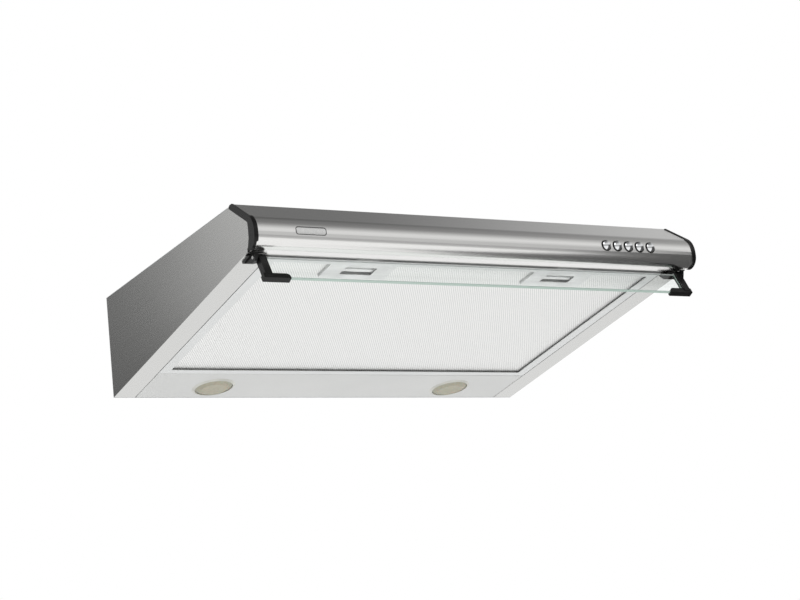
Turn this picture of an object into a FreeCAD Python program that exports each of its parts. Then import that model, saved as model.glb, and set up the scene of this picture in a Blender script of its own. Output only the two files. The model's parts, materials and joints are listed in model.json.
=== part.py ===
import FreeCAD, Part
import math
import os

# Flat 60 cm range hood with a tilting glass visor, hung on a wall or under a cabinet.
# Millimetres and degrees. X points right seen from the front, Y points at the wall, Z points up.
# The origin is the centre of the back face. The underside rises from the wall to the front,
# so what lies in it is modelled flat, with Y as minus the way forward along the underside and
# Z as the height above it, and is then tilted into place.

Vector = FreeCAD.Vector
ORIGIN = Vector(0, 0, 0)
X_DIR = Vector(1, 0, 0)
Y_DIR = Vector(0, 1, 0)
Z_DIR = Vector(0, 0, 1)
OVERRUN = 5.0

# Casing
HOOD_WIDTH = 600.0
HOOD_DEPTH = 440.0
BACK_HEIGHT = 130.0
UNDERSIDE_ANGLE = 9.19
SHEET = 0.8
SIDE_FLANGE = 28.0
SIDE_TOP_FLANGE = 12.0
BACK_FLANGE = 6.0
PANEL_GAP = 1.0
TOP_LAP = 14.0
TOP_JOGGLE = 8.0
WALL_HOLE_RADIUS = 4.0
WALL_HOLE_INSET = 60.0
WALL_HOLE_DROP = 30.0
CABINET_HOLE_RADIUS = 3.5
CABINET_HOLE_INSET = 50.0
CABINET_HOLE_PITCH_Y = 260.0
CABINET_HOLE_BACK = 60.0

# Fascia, a roll-formed front with a slope, two bends and a return under the front
FASCIA_SLOPE_ANGLE = 33.5
FASCIA_TOP_RADIUS = 24.0
FASCIA_FLAT = 3.7
FASCIA_BOTTOM_RADIUS = 14.6
FASCIA_DROP = 4.69
FASCIA_RETURN = 16.7
FASCIA_HEM = 11.0
RAIL_HEIGHT = 15.0
RAIL_LEG = 17.0
RAIL_LAP = 3.0

# Moulded end caps of the fascia
CAP_PLATE = 2.0
CAP_PROUD = 1.0
CAP_BAND = 7.6
CAP_BAND_FRONT = 14.5
CAP_FOOT = 19.5
CAP_LIP = 5.0
CAP_LIP_NOTCH = 7.0
CAP_LIP_FOOT = 3.5
CAP_TONGUE = 8.0
CAP_TONGUE_WALL = 1.6
CAP_TONGUE_GAP = 0.2
CAP_TIP_FACE = 3.8
CAP_TIP_CORNER = 1.9
SIDE_PANEL_INSET = 5.0

# Lamp panel and the two lamps in it
LAMP_PANEL_DEPTH = 80.0
LAMP_PANEL_FOLD = 14.0
LAMP_PANEL_BEND = 1.6
LAMP_PANEL_LAP = 15.0
LAMP_INSET = 123.7
LAMP_BACK = 36.3
LAMP_HOLE_RADIUS = 26.0
BEZEL_RADIUS = 28.0
BEZEL_OPENING = 24.5
BEZEL_FACE = 1.6
LENS_CROWN = 2.0
LENS_BEVEL = 7.0
LENS_GAP = 0.2
HOUSING_WIDTH = 58.0
HOUSING_HEIGHT = 24.0
HOUSING_WALL = 1.0
BULB_WIDTH = 10.0
BULB_THICKNESS = 3.0
BULB_LENGTH = 14.0
BULB_BASE_WIDTH = 9.0
BULB_BASE_LENGTH = 12.0

# Grease filter, hung at its rear edge and caught at its front edge
FILTER_GAP = 1.0
FILTER_FRONT_GAP = 1.5
FILTER_THICKNESS = 9.0
FILTER_WALL = 1.0
FILTER_LIP = 0.8
FILTER_SIDE_LIP = 13.0
FILTER_REAR_LIP = 10.0
FILTER_FRONT_LIP = 14.2
FILTER_TOP_LIP = 8.0
MESH_RECESS = 3.1
MESH_THICKNESS = 0.6
MESH_EDGE_GAP = 0.2
CORE_FOLD_PITCH = 18.0
CORE_SHEET = 0.4
TAB_INSET = 69.0
TAB_WIDTH = 20.0
TAB_REACH = 7.0
TAB_HEIGHT = 3.0
TAB_THICKNESS = 1.5
TAB_SLOT_MARGIN = 3.0
TAB_SLOT_HEIGHT = 10.0

# Latches of the filter, each a slider in a pressed housing
LEFT_LATCH_INSET = 157.0
RIGHT_LATCH_INSET = 169.0
LATCH_WIDTH = 85.0
LATCH_DEPTH = 34.0
LATCH_WALL = 0.8
LATCH_HEIGHT = 7.2
LATCH_SLOT_WIDTH = 41.0
LATCH_SLOT_DEPTH = 18.5
LATCH_SLOT_SETBACK = 6.5
LATCH_SLOT_RADIUS = 2.0
LATCH_POCKET_GAP = 0.6
SLIDER_HEIGHT = 2.7
SLIDER_THICKNESS = 2.0
SLIDER_HALF_WIDTH = 29.0
SLIDER_ARM = 7.0
SLIDER_BAR = 6.3
SLIDER_BAR_SETBACK = 3.0
SLIDER_FRONT_BAR = 7.0
BOLT_WIDTH = 30.0
BOLT_REACH = 5.0
BOLT_GAP = 0.6
STRIKE_MARGIN = 4.0
STRIKE_HEIGHT = 7.0

# Blower: a flat scroll with an upright axis, hung under the top panel
FAN_ANGLE = 36.65
SCROLL_CLEARANCE = 8.0
SCROLL_NECK = 13.8
SCROLL_STEP = 11.0
SCROLL_WALL = 2.0
SCROLL_FLOOR_HEIGHT = 59.0
SCROLL_TONGUE_ANGLE = 45.0
INLET_RADIUS = 56.0
INLET_LIP = 5.0
IMPELLER_RADIUS = 72.0
IMPELLER_GAP = 3.0
IMPELLER_HEIGHT = 54.0
IMPELLER_RING = 3.0
IMPELLER_RING_MARGIN = 1.5
BLADE_COUNT = 24
BLADE_CHORD = 13.5
BLADE_THICKNESS = 1.2
BLADE_BOW = 1.8
BLADE_SWEEP_ANGLE = 9.0
BLADE_BEND_SHARE = 0.5
BACKPLATE_THICKNESS = 1.6
HUB_CUP_RADIUS = 42.0
HUB_CUP_DEPTH = 38.0
HUB_RADIUS = 8.0
HUB_LENGTH = 6.0
SHAFT_RADIUS = 4.0
SHAFT_LENGTH = 34.0
SHAFT_TIP = 4.0
SHAFT_CLEARANCE = 0.05
MOTOR_RADIUS = 31.0
MOTOR_PLATE_WIDTH = 72.0
MOTOR_PLATE = 2.0
MOTOR_GAP = 3.0
CAPACITOR_WIDTH = 38.0
CAPACITOR_DEPTH = 19.0
CAPACITOR_HEIGHT = 28.0
CAPACITOR_INSET = 160.0
CAPACITOR_Y = -215.0
CAPACITOR_EAR = 9.0
CAPACITOR_EAR_THICKNESS = 3.0

# Outlet collar and its two non-return flaps
OUTLET_X = 0.0
OUTLET_Y = -97.0
COLLAR_RADIUS = 60.0
COLLAR_WALL = 1.6
COLLAR_HEIGHT = 30.0
COLLAR_PLATE_MARGIN = 12.0
COLLAR_PLATE = 2.0
COLLAR_LUG_WIDTH = 14.0
COLLAR_LUG_THICKNESS = 2.5
COLLAR_LUG_HOOK = 3.0
COLLAR_LUG_INSET = 5.0
COLLAR_LUG_GAP = 0.3
SPINDLE_RADIUS = 1.5
SPINDLE_HEIGHT = 8.0
FLAP_GAP = 1.0
FLAP_THICKNESS = 1.2
FLAP_CLEARANCE = 0.05
FLAP_ROOT = 4.0
KNUCKLE_HEIGHT = 5.0
KNUCKLE_LENGTH = 6.0
KNUCKLE_OFFSET = 34.0
KNUCKLE_GAP = 0.6
KNUCKLE_MOUTH = 2.4

# Push buttons and their switch block
BUTTON_COUNT = 5
BUTTON_ROW_INSET = 101.3
BUTTON_PITCH = 16.4
BUTTON_RISE = 3.2
BUTTON_RADIUS = 6.5
BUTTON_GAP = 0.5
BUTTON_PROUD = 3.8
BUTTON_LENGTH = 5.8
BUTTON_STEM_WIDTH = 5.0
BUTTON_STEM = 14.0
BUTTON_STEM_CLEARANCE = 0.05
SWITCH_BLOCK_MARGIN = 7.0
SWITCH_BLOCK_HEIGHT = 22.0
SWITCH_BLOCK_DEPTH = 24.2
SWITCH_BLOCK_FLOOR = 2.0
SWITCH_TERMINAL = 5.0
SWITCH_TERMINAL_WIDTH = 6.0
SWITCH_TERMINAL_SHEET = 0.8

# Mains connection
TERMINAL_INSET = 135.0
TERMINAL_Y = -80.0
TERMINAL_WIDTH = 90.0
TERMINAL_DEPTH = 46.0
TERMINAL_HEIGHT = 28.0
TERMINAL_COVER = 3.0
GLAND_INSET = 38.0
GLAND_Y = -110.0
GLAND_WIDTH = 16.0
GLAND_HEAD_WIDTH = 22.0
GLAND_HEAD = 9.0
GLAND_CATCH = 5.0
GLAND_CATCH_WIDTH = 19.0
GLAND_BORE = 3.5

# Glass visor, a pane hung between two arms
VISOR_ARM_INSET = 16.5
VISOR_ANGLE = 28.3
PIVOT_SETBACK = 19.0
PIVOT_DROP = 6.0
PIN_RADIUS = 2.0
PIN_CLEARANCE = 0.05
PIN_HEAD = 1.2
BRACKET_REAR_SETBACK = 43.0
BRACKET_STEP_SETBACK = 21.7
BRACKET_FRONT_SETBACK = 12.5
BRACKET_PLATE = 2.0
BRACKET_STEP_DROP = 1.4
BRACKET_INNER_INSET = 30.5
BRACKET_OUTER_INSET = 6.0
BRACKET_TAPER = 12.0
EAR_THICKNESS = 4.0
EAR_NOSE = 4.8
ARM_WIDTH = 8.6
ARM_DEPTH = 9.0
ARM_CHAMFER = 2.5
ARM_EAR_GAP = 0.4
FOOT_INNER_INSET = 42.0
FOOT_OUTER_INSET = 10.0
FOOT_WALL = 1.6
FOOT_FLOOR = 2.2
FOOT_GRIP = 4.4
FOOT_CORNER = 4.5
GLASS_TOP = 0.6
GLASS_HEIGHT = 29.7
GLASS_THICKNESS = 4.0
GLASS_GAP = 0.1
GLASS_END_GAP = 0.3

# Derived places
HALF_WIDTH = HOOD_WIDTH / 2
Z_TOP = BACK_HEIGHT / 2
Z_BACK_BOTTOM = -BACK_HEIGHT / 2
FRONT_Y = -HOOD_DEPTH
SIDE_X = HALF_WIDTH - CAP_PLATE
INNER_X = SIDE_X - SHEET
TOP_UNDERSIDE = Z_TOP - SHEET
SLOPE_SIN = math.sin(math.radians(UNDERSIDE_ANGLE))
SLOPE_COS = math.cos(math.radians(UNDERSIDE_ANGLE))
FRONT_SIN = math.sin(math.radians(FASCIA_SLOPE_ANGLE))
FRONT_COS = math.cos(math.radians(FASCIA_SLOPE_ANGLE))
UNDERSIDE_FRONT_Z = Z_BACK_BOTTOM + HOOD_DEPTH * SLOPE_SIN / SLOPE_COS
FASCIA_BOTTOM_Z = UNDERSIDE_FRONT_Z - FASCIA_DROP
LOW_CENTRE_Y = FRONT_Y + FASCIA_BOTTOM_RADIUS
LOW_CENTRE_Z = FASCIA_BOTTOM_Z + FASCIA_BOTTOM_RADIUS
HIGH_CENTRE_Y = FRONT_Y + FASCIA_TOP_RADIUS
HIGH_CENTRE_Z = LOW_CENTRE_Z + FASCIA_FLAT
FASCIA_OUTER = CAP_PROUD
FASCIA_INNER = CAP_PROUD + SHEET
RETURN_END_Y = LOW_CENTRE_Y + FASCIA_RETURN
RETURN_Z = FASCIA_BOTTOM_Z + FASCIA_OUTER
FLANGE_X = SIDE_X - SIDE_FLANGE
FLANGE_END = -(RETURN_END_Y + SHEET) / SLOPE_COS - PANEL_GAP
FILTER_HALF = FLANGE_X - FILTER_GAP
FILTER_REAR = LAMP_PANEL_DEPTH + FILTER_GAP
FILTER_FRONT = -(RETURN_END_Y + SHEET) / SLOPE_COS - FILTER_FRONT_GAP
MESH_TOP = FILTER_THICKNESS - FILTER_LIP - MESH_THICKNESS
LAMP_X = HALF_WIDTH - LAMP_INSET
TAB_X = FILTER_HALF - TAB_INSET
LEFT_LATCH_X = LEFT_LATCH_INSET - HALF_WIDTH
RIGHT_LATCH_X = HALF_WIDTH - RIGHT_LATCH_INSET
LATCH_FRONT = FILTER_FRONT - FILTER_FRONT_LIP
LATCH_REAR = LATCH_FRONT - LATCH_DEPTH
LATCH_SLOT_FRONT = LATCH_FRONT - LATCH_SLOT_SETBACK
LATCH_SLOT_REAR = LATCH_SLOT_FRONT - LATCH_SLOT_DEPTH
SLIDER_REAR = LATCH_SLOT_REAR + SLIDER_BAR_SETBACK
SCROLL_FLOOR_Z = Z_BACK_BOTTOM + SCROLL_FLOOR_HEIGHT
IMPELLER_Z = SCROLL_FLOOR_Z + SCROLL_WALL + IMPELLER_GAP
IMPELLER_TOP = IMPELLER_Z + IMPELLER_HEIGHT
HUB_Z = IMPELLER_TOP - HUB_CUP_DEPTH
SHAFT_Z = HUB_Z - SHAFT_TIP
MOTOR_Z = HUB_Z + BACKPLATE_THICKNESS + HUB_LENGTH + MOTOR_GAP
CHAMBER_RADIUS = COLLAR_RADIUS + SCROLL_WALL
SCROLL_RADIUS = IMPELLER_RADIUS + SCROLL_CLEARANCE
FAN_REACH = SCROLL_RADIUS + CHAMBER_RADIUS + SCROLL_NECK
FAN_X = OUTLET_X - FAN_REACH * math.cos(math.radians(FAN_ANGLE))
FAN_Y = OUTLET_Y - FAN_REACH * math.sin(math.radians(FAN_ANGLE))
CAPACITOR_X = HALF_WIDTH - CAPACITOR_INSET
DUCT_RADIUS = COLLAR_RADIUS - COLLAR_WALL
SPINDLE_Z = Z_TOP + SPINDLE_HEIGHT
BUTTON_Z = HIGH_CENTRE_Z + BUTTON_RISE
FASCIA_FACE_Y = FRONT_Y + FASCIA_OUTER
SWITCH_BACK_Y = RETURN_END_Y
SWITCH_FRONT_Y = SWITCH_BACK_Y - SWITCH_BLOCK_DEPTH
TERMINAL_X = HALF_WIDTH - TERMINAL_INSET
GLAND_X = HALF_WIDTH - GLAND_INSET
PIVOT_ALONG = HOOD_DEPTH - PIVOT_SETBACK
BRACKET_REAR = HOOD_DEPTH - BRACKET_REAR_SETBACK
BRACKET_STEP = HOOD_DEPTH - BRACKET_STEP_SETBACK
BRACKET_FRONT = HOOD_DEPTH - BRACKET_FRONT_SETBACK
PIVOT_Y = -PIVOT_ALONG * SLOPE_COS - PIVOT_DROP * SLOPE_SIN
PIVOT_Z = Z_BACK_BOTTOM + PIVOT_ALONG * SLOPE_SIN - PIVOT_DROP * SLOPE_COS
ARM_OUT_X = HALF_WIDTH - VISOR_ARM_INSET + ARM_WIDTH / 2
ARM_IN_X = ARM_OUT_X - ARM_WIDTH
GLASS_BOTTOM = GLASS_TOP + GLASS_HEIGHT


def box(x0, x1, y0, y1, z0, z1):
    """A box between two corners."""
    return Part.makeBox(x1 - x0, y1 - y0, z1 - z0, Vector(x0, y0, z0))


def along_box(x0, x1, s0, s1, h0, h1):
    """A box in the flat layout of the underside, s0 to s1 forward of the wall."""
    return box(x0, x1, -s1, -s0, h0, h1)


def rod_x(radius, x0, x1, y, z):
    return Part.makeCylinder(radius, x1 - x0, Vector(x0, y, z), X_DIR)


def rod_y(radius, x, y0, y1, z):
    return Part.makeCylinder(radius, y1 - y0, Vector(x, y0, z), Y_DIR)


def rod_z(radius, x, y, z0, z1):
    return Part.makeCylinder(radius, z1 - z0, Vector(x, y, z0), Z_DIR)


def post(width, x, y, z0, z1):
    """A square upright bar."""
    return box(x - width / 2, x + width / 2, y - width / 2, y + width / 2, z0, z1)


def joined(shapes):
    """One solid of several that meet."""
    whole = shapes[0]
    for shape in shapes[1:]:
        whole = whole.fuse(shape)
    return whole


def fused(shapes):
    """One solid of several that meet, with their level faces merged."""
    return joined(shapes).removeSplitter()


def tilted(shape):
    """Puts a piece of the flat layout in the rising underside."""
    shape = shape.copy()
    shape.rotate(ORIGIN, X_DIR, -UNDERSIDE_ANGLE)
    shape.translate(Vector(0, 0, Z_BACK_BOTTOM))
    return shape


def mirrored(shape):
    """The right-hand twin of a left-hand piece."""
    return shape.mirror(ORIGIN, X_DIR)


def slab_yz(points, x0, x1):
    """A flat piece from a Y, Z outline, extruded from x0 to x1."""
    corners = [Vector(x0, y, z) for y, z in points]
    face = Part.Face(Part.makePolygon(corners + [corners[0]]))
    return face.extrude(Vector(x1 - x0, 0, 0))


def slab_xy(points, z0, z1):
    """A flat piece from an X, Y outline, extruded from z0 to z1."""
    corners = [Vector(x, y, z0) for x, y in points]
    face = Part.Face(Part.makePolygon(corners + [corners[0]]))
    return face.extrude(Vector(0, 0, z1 - z0))


def slab_edges(edges, reach):
    """A solid from a closed set of edges, extruded by the vector reach."""
    return Part.Face(Part.Wire(Part.__sortEdges__(edges))).extrude(reach)


def revolved(points, x, y):
    """A turned piece from a radius, height outline, about an upright axis at x, y."""
    corners = [Vector(x + r, y, z) for r, z in points]
    face = Part.Face(Part.makePolygon(corners + [corners[0]]))
    return face.revolve(Vector(x, y, 0), Z_DIR, 360)


def underside_z(y):
    """Height of the underside plane at a depth y."""
    return Z_BACK_BOTTOM - y * SLOPE_SIN / SLOPE_COS


def slope_y(inset, z):
    """Y of the sloping front at a height z, for a skin inset from the outline."""
    radius = FASCIA_TOP_RADIUS - inset
    start_y = HIGH_CENTRE_Y - radius * FRONT_SIN
    start_z = HIGH_CENTRE_Z + radius * FRONT_COS
    return start_y + (z - start_z) * FRONT_COS / FRONT_SIN


def front_nodes(inset, z_top):
    """Points of the front outline, from the top of the slope to the lowest line."""
    high = FASCIA_TOP_RADIUS - inset
    low = FASCIA_BOTTOM_RADIUS - inset
    half = math.radians((90 + FASCIA_SLOPE_ANGLE) / 2)
    quarter = math.radians(45)
    return [
        (slope_y(inset, z_top), z_top),
        (HIGH_CENTRE_Y - high * FRONT_SIN, HIGH_CENTRE_Z + high * FRONT_COS),
        (HIGH_CENTRE_Y - high * math.sin(half), HIGH_CENTRE_Z + high * math.cos(half)),
        (FRONT_Y + inset, HIGH_CENTRE_Z),
        (FRONT_Y + inset, LOW_CENTRE_Z),
        (LOW_CENTRE_Y - low * math.sin(quarter), LOW_CENTRE_Z - low * math.cos(quarter)),
        (LOW_CENTRE_Y, FASCIA_BOTTOM_Z + inset),
    ]


def front_edges(inset, z_top, x):
    """Edges of the front outline in the plane at x."""
    p = [Vector(x, y, z) for y, z in front_nodes(inset, z_top)]
    return [
        Part.makeLine(p[0], p[1]),
        Part.Arc(p[1], p[2], p[3]).toShape(),
        Part.makeLine(p[3], p[4]),
        Part.Arc(p[4], p[5], p[6]).toShape(),
    ]


def chain(points, x):
    """Straight edges through Y, Z points in the plane at x."""
    corners = [Vector(x, y, z) for y, z in points]
    return [Part.makeLine(a, b) for a, b in zip(corners, corners[1:])]


def front_skin(outer, inner, z_top, x0, x1):
    """A bent strip that follows the front outline between two insets."""
    first = front_nodes(outer, z_top)
    last = front_nodes(inner, z_top)
    edges = front_edges(outer, z_top, x0) + front_edges(inner, z_top, x0)
    edges += chain([first[0], last[0]], x0)
    edges += chain([first[-1], last[-1]], x0)
    return slab_edges(edges, Vector(x1 - x0, 0, 0))


def cabinet_holes(z0, z1):
    """The four holes through which the hood hangs from a cabinet."""
    holes = []
    for side in (-1, 1):
        for step in (0, 1):
            x = side * (HALF_WIDTH - CABINET_HOLE_INSET)
            y = -CABINET_HOLE_BACK - step * CABINET_HOLE_PITCH_Y
            holes.append(rod_z(CABINET_HOLE_RADIUS, x, y, z0, z1))
    return holes


def top_panel():
    lap_y = slope_y(FASCIA_OUTER, Z_TOP) + TOP_LAP
    plate = box(-SIDE_X, SIDE_X, lap_y, 0, TOP_UNDERSIDE, Z_TOP)
    joggle_x = SIDE_X - SIDE_TOP_FLANGE - PANEL_GAP
    joggle = box(-joggle_x, joggle_x, lap_y - TOP_JOGGLE, lap_y + TOP_JOGGLE,
                 TOP_UNDERSIDE - SHEET, TOP_UNDERSIDE)
    panel = fused([plate, joggle])
    bottom = TOP_UNDERSIDE - OVERRUN
    top = Z_TOP + OVERRUN
    tools = cabinet_holes(bottom, top)
    tools.append(rod_z(DUCT_RADIUS, OUTLET_X, OUTLET_Y, bottom, top))
    tools.append(post(GLAND_WIDTH, GLAND_X, GLAND_Y, bottom, top))
    tools += collar_lugs(COLLAR_LUG_GAP, bottom, top)
    return panel.cut(tools)


def back_panel():
    sheet = box(-SIDE_X, SIDE_X, -SHEET, 0, Z_BACK_BOTTOM, TOP_UNDERSIDE)
    flange = tilted(along_box(-FILTER_HALF, FILTER_HALF, SHEET / 2, BACK_FLANGE, SHEET, 2 * SHEET))
    panel = fused([sheet, flange])
    holes = []
    for side in (-1, 1):
        x = side * (HALF_WIDTH - WALL_HOLE_INSET)
        holes.append(rod_y(WALL_HOLE_RADIUS, x, -SHEET - OVERRUN, OVERRUN, Z_TOP - WALL_HOLE_DROP))
    return panel.cut(holes)


def side_outline():
    """The side panel's outline behind the end cap, with rounded front corners."""
    inset = SIDE_PANEL_INSET
    floor_y = LOW_CENTRE_Y + FASCIA_BOTTOM_RADIUS - inset
    edges = front_edges(inset, TOP_UNDERSIDE, -SIDE_X)
    top = front_nodes(inset, TOP_UNDERSIDE)[0]
    low = front_nodes(inset, TOP_UNDERSIDE)[-1]
    edges += chain([low, (floor_y, low[1]), (floor_y, underside_z(floor_y)),
                    (-SHEET, underside_z(-SHEET)), (-SHEET, TOP_UNDERSIDE), top], -SIDE_X)
    return edges


def left_side_panel():
    web = slab_edges(side_outline(), Vector(SHEET, 0, 0))
    bottom = tilted(along_box(-SIDE_X, -FLANGE_X, PANEL_GAP, FLANGE_END, 0, SHEET))
    top_front = slope_y(FASCIA_OUTER, Z_TOP) + TOP_LAP + TOP_JOGGLE + PANEL_GAP
    top = box(-SIDE_X, -SIDE_X + SIDE_TOP_FLANGE, top_front, -PANEL_GAP,
              TOP_UNDERSIDE - SHEET, TOP_UNDERSIDE)
    return fused([web, bottom, top])


def button_places():
    first = HALF_WIDTH - BUTTON_ROW_INSET - BUTTON_PITCH * (BUTTON_COUNT - 1) / 2
    return [first + BUTTON_PITCH * i for i in range(BUTTON_COUNT)]


def strike_window(latch_x):
    """Window in the hem of the fascia that the bolt of a latch enters."""
    half = BOLT_WIDTH / 2 + STRIKE_MARGIN
    floor_z = RETURN_Z + SHEET
    return box(latch_x - half, latch_x + half, RETURN_END_Y - OVERRUN, RETURN_END_Y + SHEET + OVERRUN,
               floor_z, floor_z + STRIKE_HEIGHT)


def fascia():
    skin = front_skin(FASCIA_OUTER, FASCIA_INNER, Z_TOP, -SIDE_X, SIDE_X)
    corner_y = slope_y(FASCIA_INNER, TOP_UNDERSIDE)
    lap_y = slope_y(FASCIA_OUTER, Z_TOP) + TOP_LAP
    lap = box(-SIDE_X, SIDE_X, corner_y, lap_y, TOP_UNDERSIDE, Z_TOP)
    return_x = INNER_X - PANEL_GAP
    floor = box(-return_x, return_x, LOW_CENTRE_Y - SHEET, RETURN_END_Y + SHEET,
                RETURN_Z, RETURN_Z + SHEET)
    hem = box(-return_x, return_x, RETURN_END_Y, RETURN_END_Y + SHEET, RETURN_Z, RETURN_Z + FASCIA_HEM)
    sheet = fused([skin, lap, floor, hem])
    tools = [strike_window(LEFT_LATCH_X), strike_window(RIGHT_LATCH_X)]
    hole_radius = BUTTON_RADIUS + BUTTON_GAP
    for x in button_places():
        tools.append(rod_y(hole_radius, x, FRONT_Y - OVERRUN, SWITCH_FRONT_Y, BUTTON_Z))
    return sheet.cut(tools)


def front_rail():
    """A folded strip that ties the side panels together behind the fascia."""
    back_y = RETURN_END_Y + SHEET
    low_z = RETURN_Z + FASCIA_HEM - RAIL_LAP
    top_z = low_z + RAIL_HEIGHT
    upright = box(-INNER_X, INNER_X, back_y, back_y + SHEET, low_z, top_z)
    leg = box(-INNER_X, INNER_X, back_y, back_y + RAIL_LEG, top_z - SHEET, top_z)
    return fused([upright, leg])


def cap_plate():
    """The band of the end cap that covers the front margin of the side panel."""
    outer = front_nodes(0, Z_TOP)
    band = front_nodes(CAP_BAND, Z_TOP)
    turn_y = FRONT_Y + CAP_BAND_FRONT
    foot_y = FRONT_Y + CAP_FOOT
    bend_y, bend_z = band[1]
    tip_z = Z_TOP - CAP_TIP_FACE
    tip_y = slope_y(CAP_BAND, tip_z)
    edges = front_edges(0, Z_TOP, -HALF_WIDTH)
    edges += chain([outer[-1], (foot_y - CAP_BAND / 2, FASCIA_BOTTOM_Z), (foot_y, underside_z(foot_y)),
                    (turn_y, LOW_CENTRE_Z), (turn_y, HIGH_CENTRE_Z)], -HALF_WIDTH)
    arc_mid_y = (turn_y + bend_y) / 2 - CAP_PROUD / 2
    arc_mid_z = (HIGH_CENTRE_Z + bend_z) / 2 + CAP_PROUD / 2
    edges.append(Part.Arc(Vector(-HALF_WIDTH, turn_y, HIGH_CENTRE_Z),
                          Vector(-HALF_WIDTH, arc_mid_y, arc_mid_z),
                          Vector(-HALF_WIDTH, bend_y, bend_z)).toShape())
    edges += chain([(bend_y, bend_z), (tip_y, tip_z), (tip_y, Z_TOP - CAP_TIP_CORNER),
                    (tip_y - CAP_TIP_CORNER, Z_TOP), outer[0]], -HALF_WIDTH)
    return slab_edges(edges, Vector(CAP_PLATE, 0, 0))


def cap_tongue():
    """The flat tongue of the end cap that lies behind the slope of the fascia."""
    outer = FASCIA_INNER + CAP_TONGUE_GAP
    inner = outer + CAP_TONGUE_WALL
    top = TOP_UNDERSIDE - CAP_TONGUE_GAP
    first = front_nodes(outer, top)
    last = front_nodes(inner, top)
    return slab_yz([first[0], first[1], last[1], last[0]], -SIDE_X, -SIDE_X + CAP_TONGUE)


def left_end_cap():
    lip = front_skin(0, FASCIA_OUTER, Z_TOP, -HALF_WIDTH, -HALF_WIDTH + CAP_LIP)
    slope_start = HIGH_CENTRE_Z + FASCIA_TOP_RADIUS * FRONT_COS
    above = box(-SIDE_X, 0, FRONT_Y - OVERRUN, 0, slope_start, Z_TOP + OVERRUN)
    notch_z = FASCIA_BOTTOM_Z + CAP_LIP_NOTCH
    below = box(-HALF_WIDTH + CAP_LIP_FOOT, 0, FRONT_Y - OVERRUN, 0, FASCIA_BOTTOM_Z - OVERRUN, notch_z)
    return fused([cap_plate(), lip.cut([above, below]), cap_tongue()])


def lamp_panel():
    """The narrow panel by the wall that holds the lamps, with a fold up to the filter."""
    plate = along_box(-FILTER_HALF, FILTER_HALF, PANEL_GAP + SHEET / 2, LAMP_PANEL_DEPTH, 0, SHEET)
    fold = along_box(-FILTER_HALF, FILTER_HALF, LAMP_PANEL_DEPTH - SHEET, LAMP_PANEL_DEPTH, 0, LAMP_PANEL_FOLD)
    inner = LAMP_PANEL_BEND - SHEET
    fill = along_box(-FILTER_HALF, FILTER_HALF, LAMP_PANEL_DEPTH - SHEET - inner,
                     LAMP_PANEL_DEPTH - SHEET, SHEET, SHEET + inner)
    bend_y = SHEET + inner - LAMP_PANEL_DEPTH
    fill = fill.cut(rod_x(inner, -FILTER_HALF, FILTER_HALF, bend_y, SHEET + inner))
    panel = fused([plate, fold, fill])
    edge = [e for e in panel.Edges
            if e.Length > FILTER_HALF
            and abs(e.CenterOfMass.y + LAMP_PANEL_DEPTH) < SHEET / 4 and abs(e.CenterOfMass.z) < SHEET / 4]
    panel = panel.makeFillet(LAMP_PANEL_BEND, edge)
    lips = []
    for side in (-1, 1):
        x0 = side * (FILTER_HALF - LAMP_PANEL_LAP / 2)
        x1 = side * (FILTER_HALF + LAMP_PANEL_LAP)
        lips.append(along_box(min(x0, x1), max(x0, x1), BACK_FLANGE + PANEL_GAP,
                              LAMP_PANEL_DEPTH - LAMP_PANEL_FOLD, SHEET, 2 * SHEET))
    panel = fused([panel] + lips)
    tools = []
    for side in (-1, 1):
        tools.append(rod_z(LAMP_HOLE_RADIUS, side * LAMP_X, -LAMP_BACK, -OVERRUN, OVERRUN))
        half = TAB_WIDTH / 2 + TAB_SLOT_MARGIN
        x = side * TAB_X
        low = TAB_HEIGHT - PANEL_GAP
        tools.append(along_box(x - half, x + half, LAMP_PANEL_DEPTH - OVERRUN, LAMP_PANEL_DEPTH + OVERRUN,
                               low, low + TAB_SLOT_HEIGHT))
    return tilted(panel.cut(tools))


def lamp_pair(shape):
    """The left-hand lamp piece and its right-hand twin, tilted into place."""
    left = tilted(shape)
    return Part.makeCompound([left, mirrored(left)])


def lamp_bezels():
    """The bevelled rings round the lenses, on the face of the lamp panel."""
    ring = revolved([
        (BEZEL_OPENING, -BEZEL_FACE), (BEZEL_RADIUS, 0), (BEZEL_OPENING, 0),
    ], -LAMP_X, -LAMP_BACK)
    return lamp_pair(ring)


def lamp_lenses():
    """Shallow bevelled lenses, each standing through its ring."""
    radius = BEZEL_OPENING - LENS_GAP
    crown = -BEZEL_FACE - LENS_CROWN
    lens = revolved([
        (0, crown), (radius - LENS_BEVEL, crown), (radius, 0), (0, 0),
    ], -LAMP_X, -LAMP_BACK)
    return lamp_pair(lens)


def lamp_housings():
    """The folded boxes above the lamps, standing on the lamp panel."""
    x = -LAMP_X
    half = HOUSING_WIDTH / 2
    top = SHEET + HOUSING_HEIGHT
    shell = along_box(x - half, x + half, LAMP_BACK - half, LAMP_BACK + half, SHEET, top)
    room = half - HOUSING_WALL
    shell = shell.cut(along_box(x - room, x + room, LAMP_BACK - room, LAMP_BACK + room,
                                SHEET - OVERRUN, top - HOUSING_WALL))
    return lamp_pair(shell.cut(post(BULB_BASE_WIDTH, x, -LAMP_BACK, SHEET, top + OVERRUN)))


def lamp_bulbs():
    """Flat lamps, each held by its square base in the top of its housing."""
    x = -LAMP_X
    neck = SHEET + HOUSING_HEIGHT - 2 * HOUSING_WALL
    blade = along_box(x - BULB_WIDTH / 2, x + BULB_WIDTH / 2, LAMP_BACK - BULB_THICKNESS / 2,
                      LAMP_BACK + BULB_THICKNESS / 2, neck - BULB_LENGTH, neck)
    base = post(BULB_BASE_WIDTH, x, -LAMP_BACK, neck, neck + BULB_BASE_LENGTH)
    return lamp_pair(fused([blade, base]))


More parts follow.
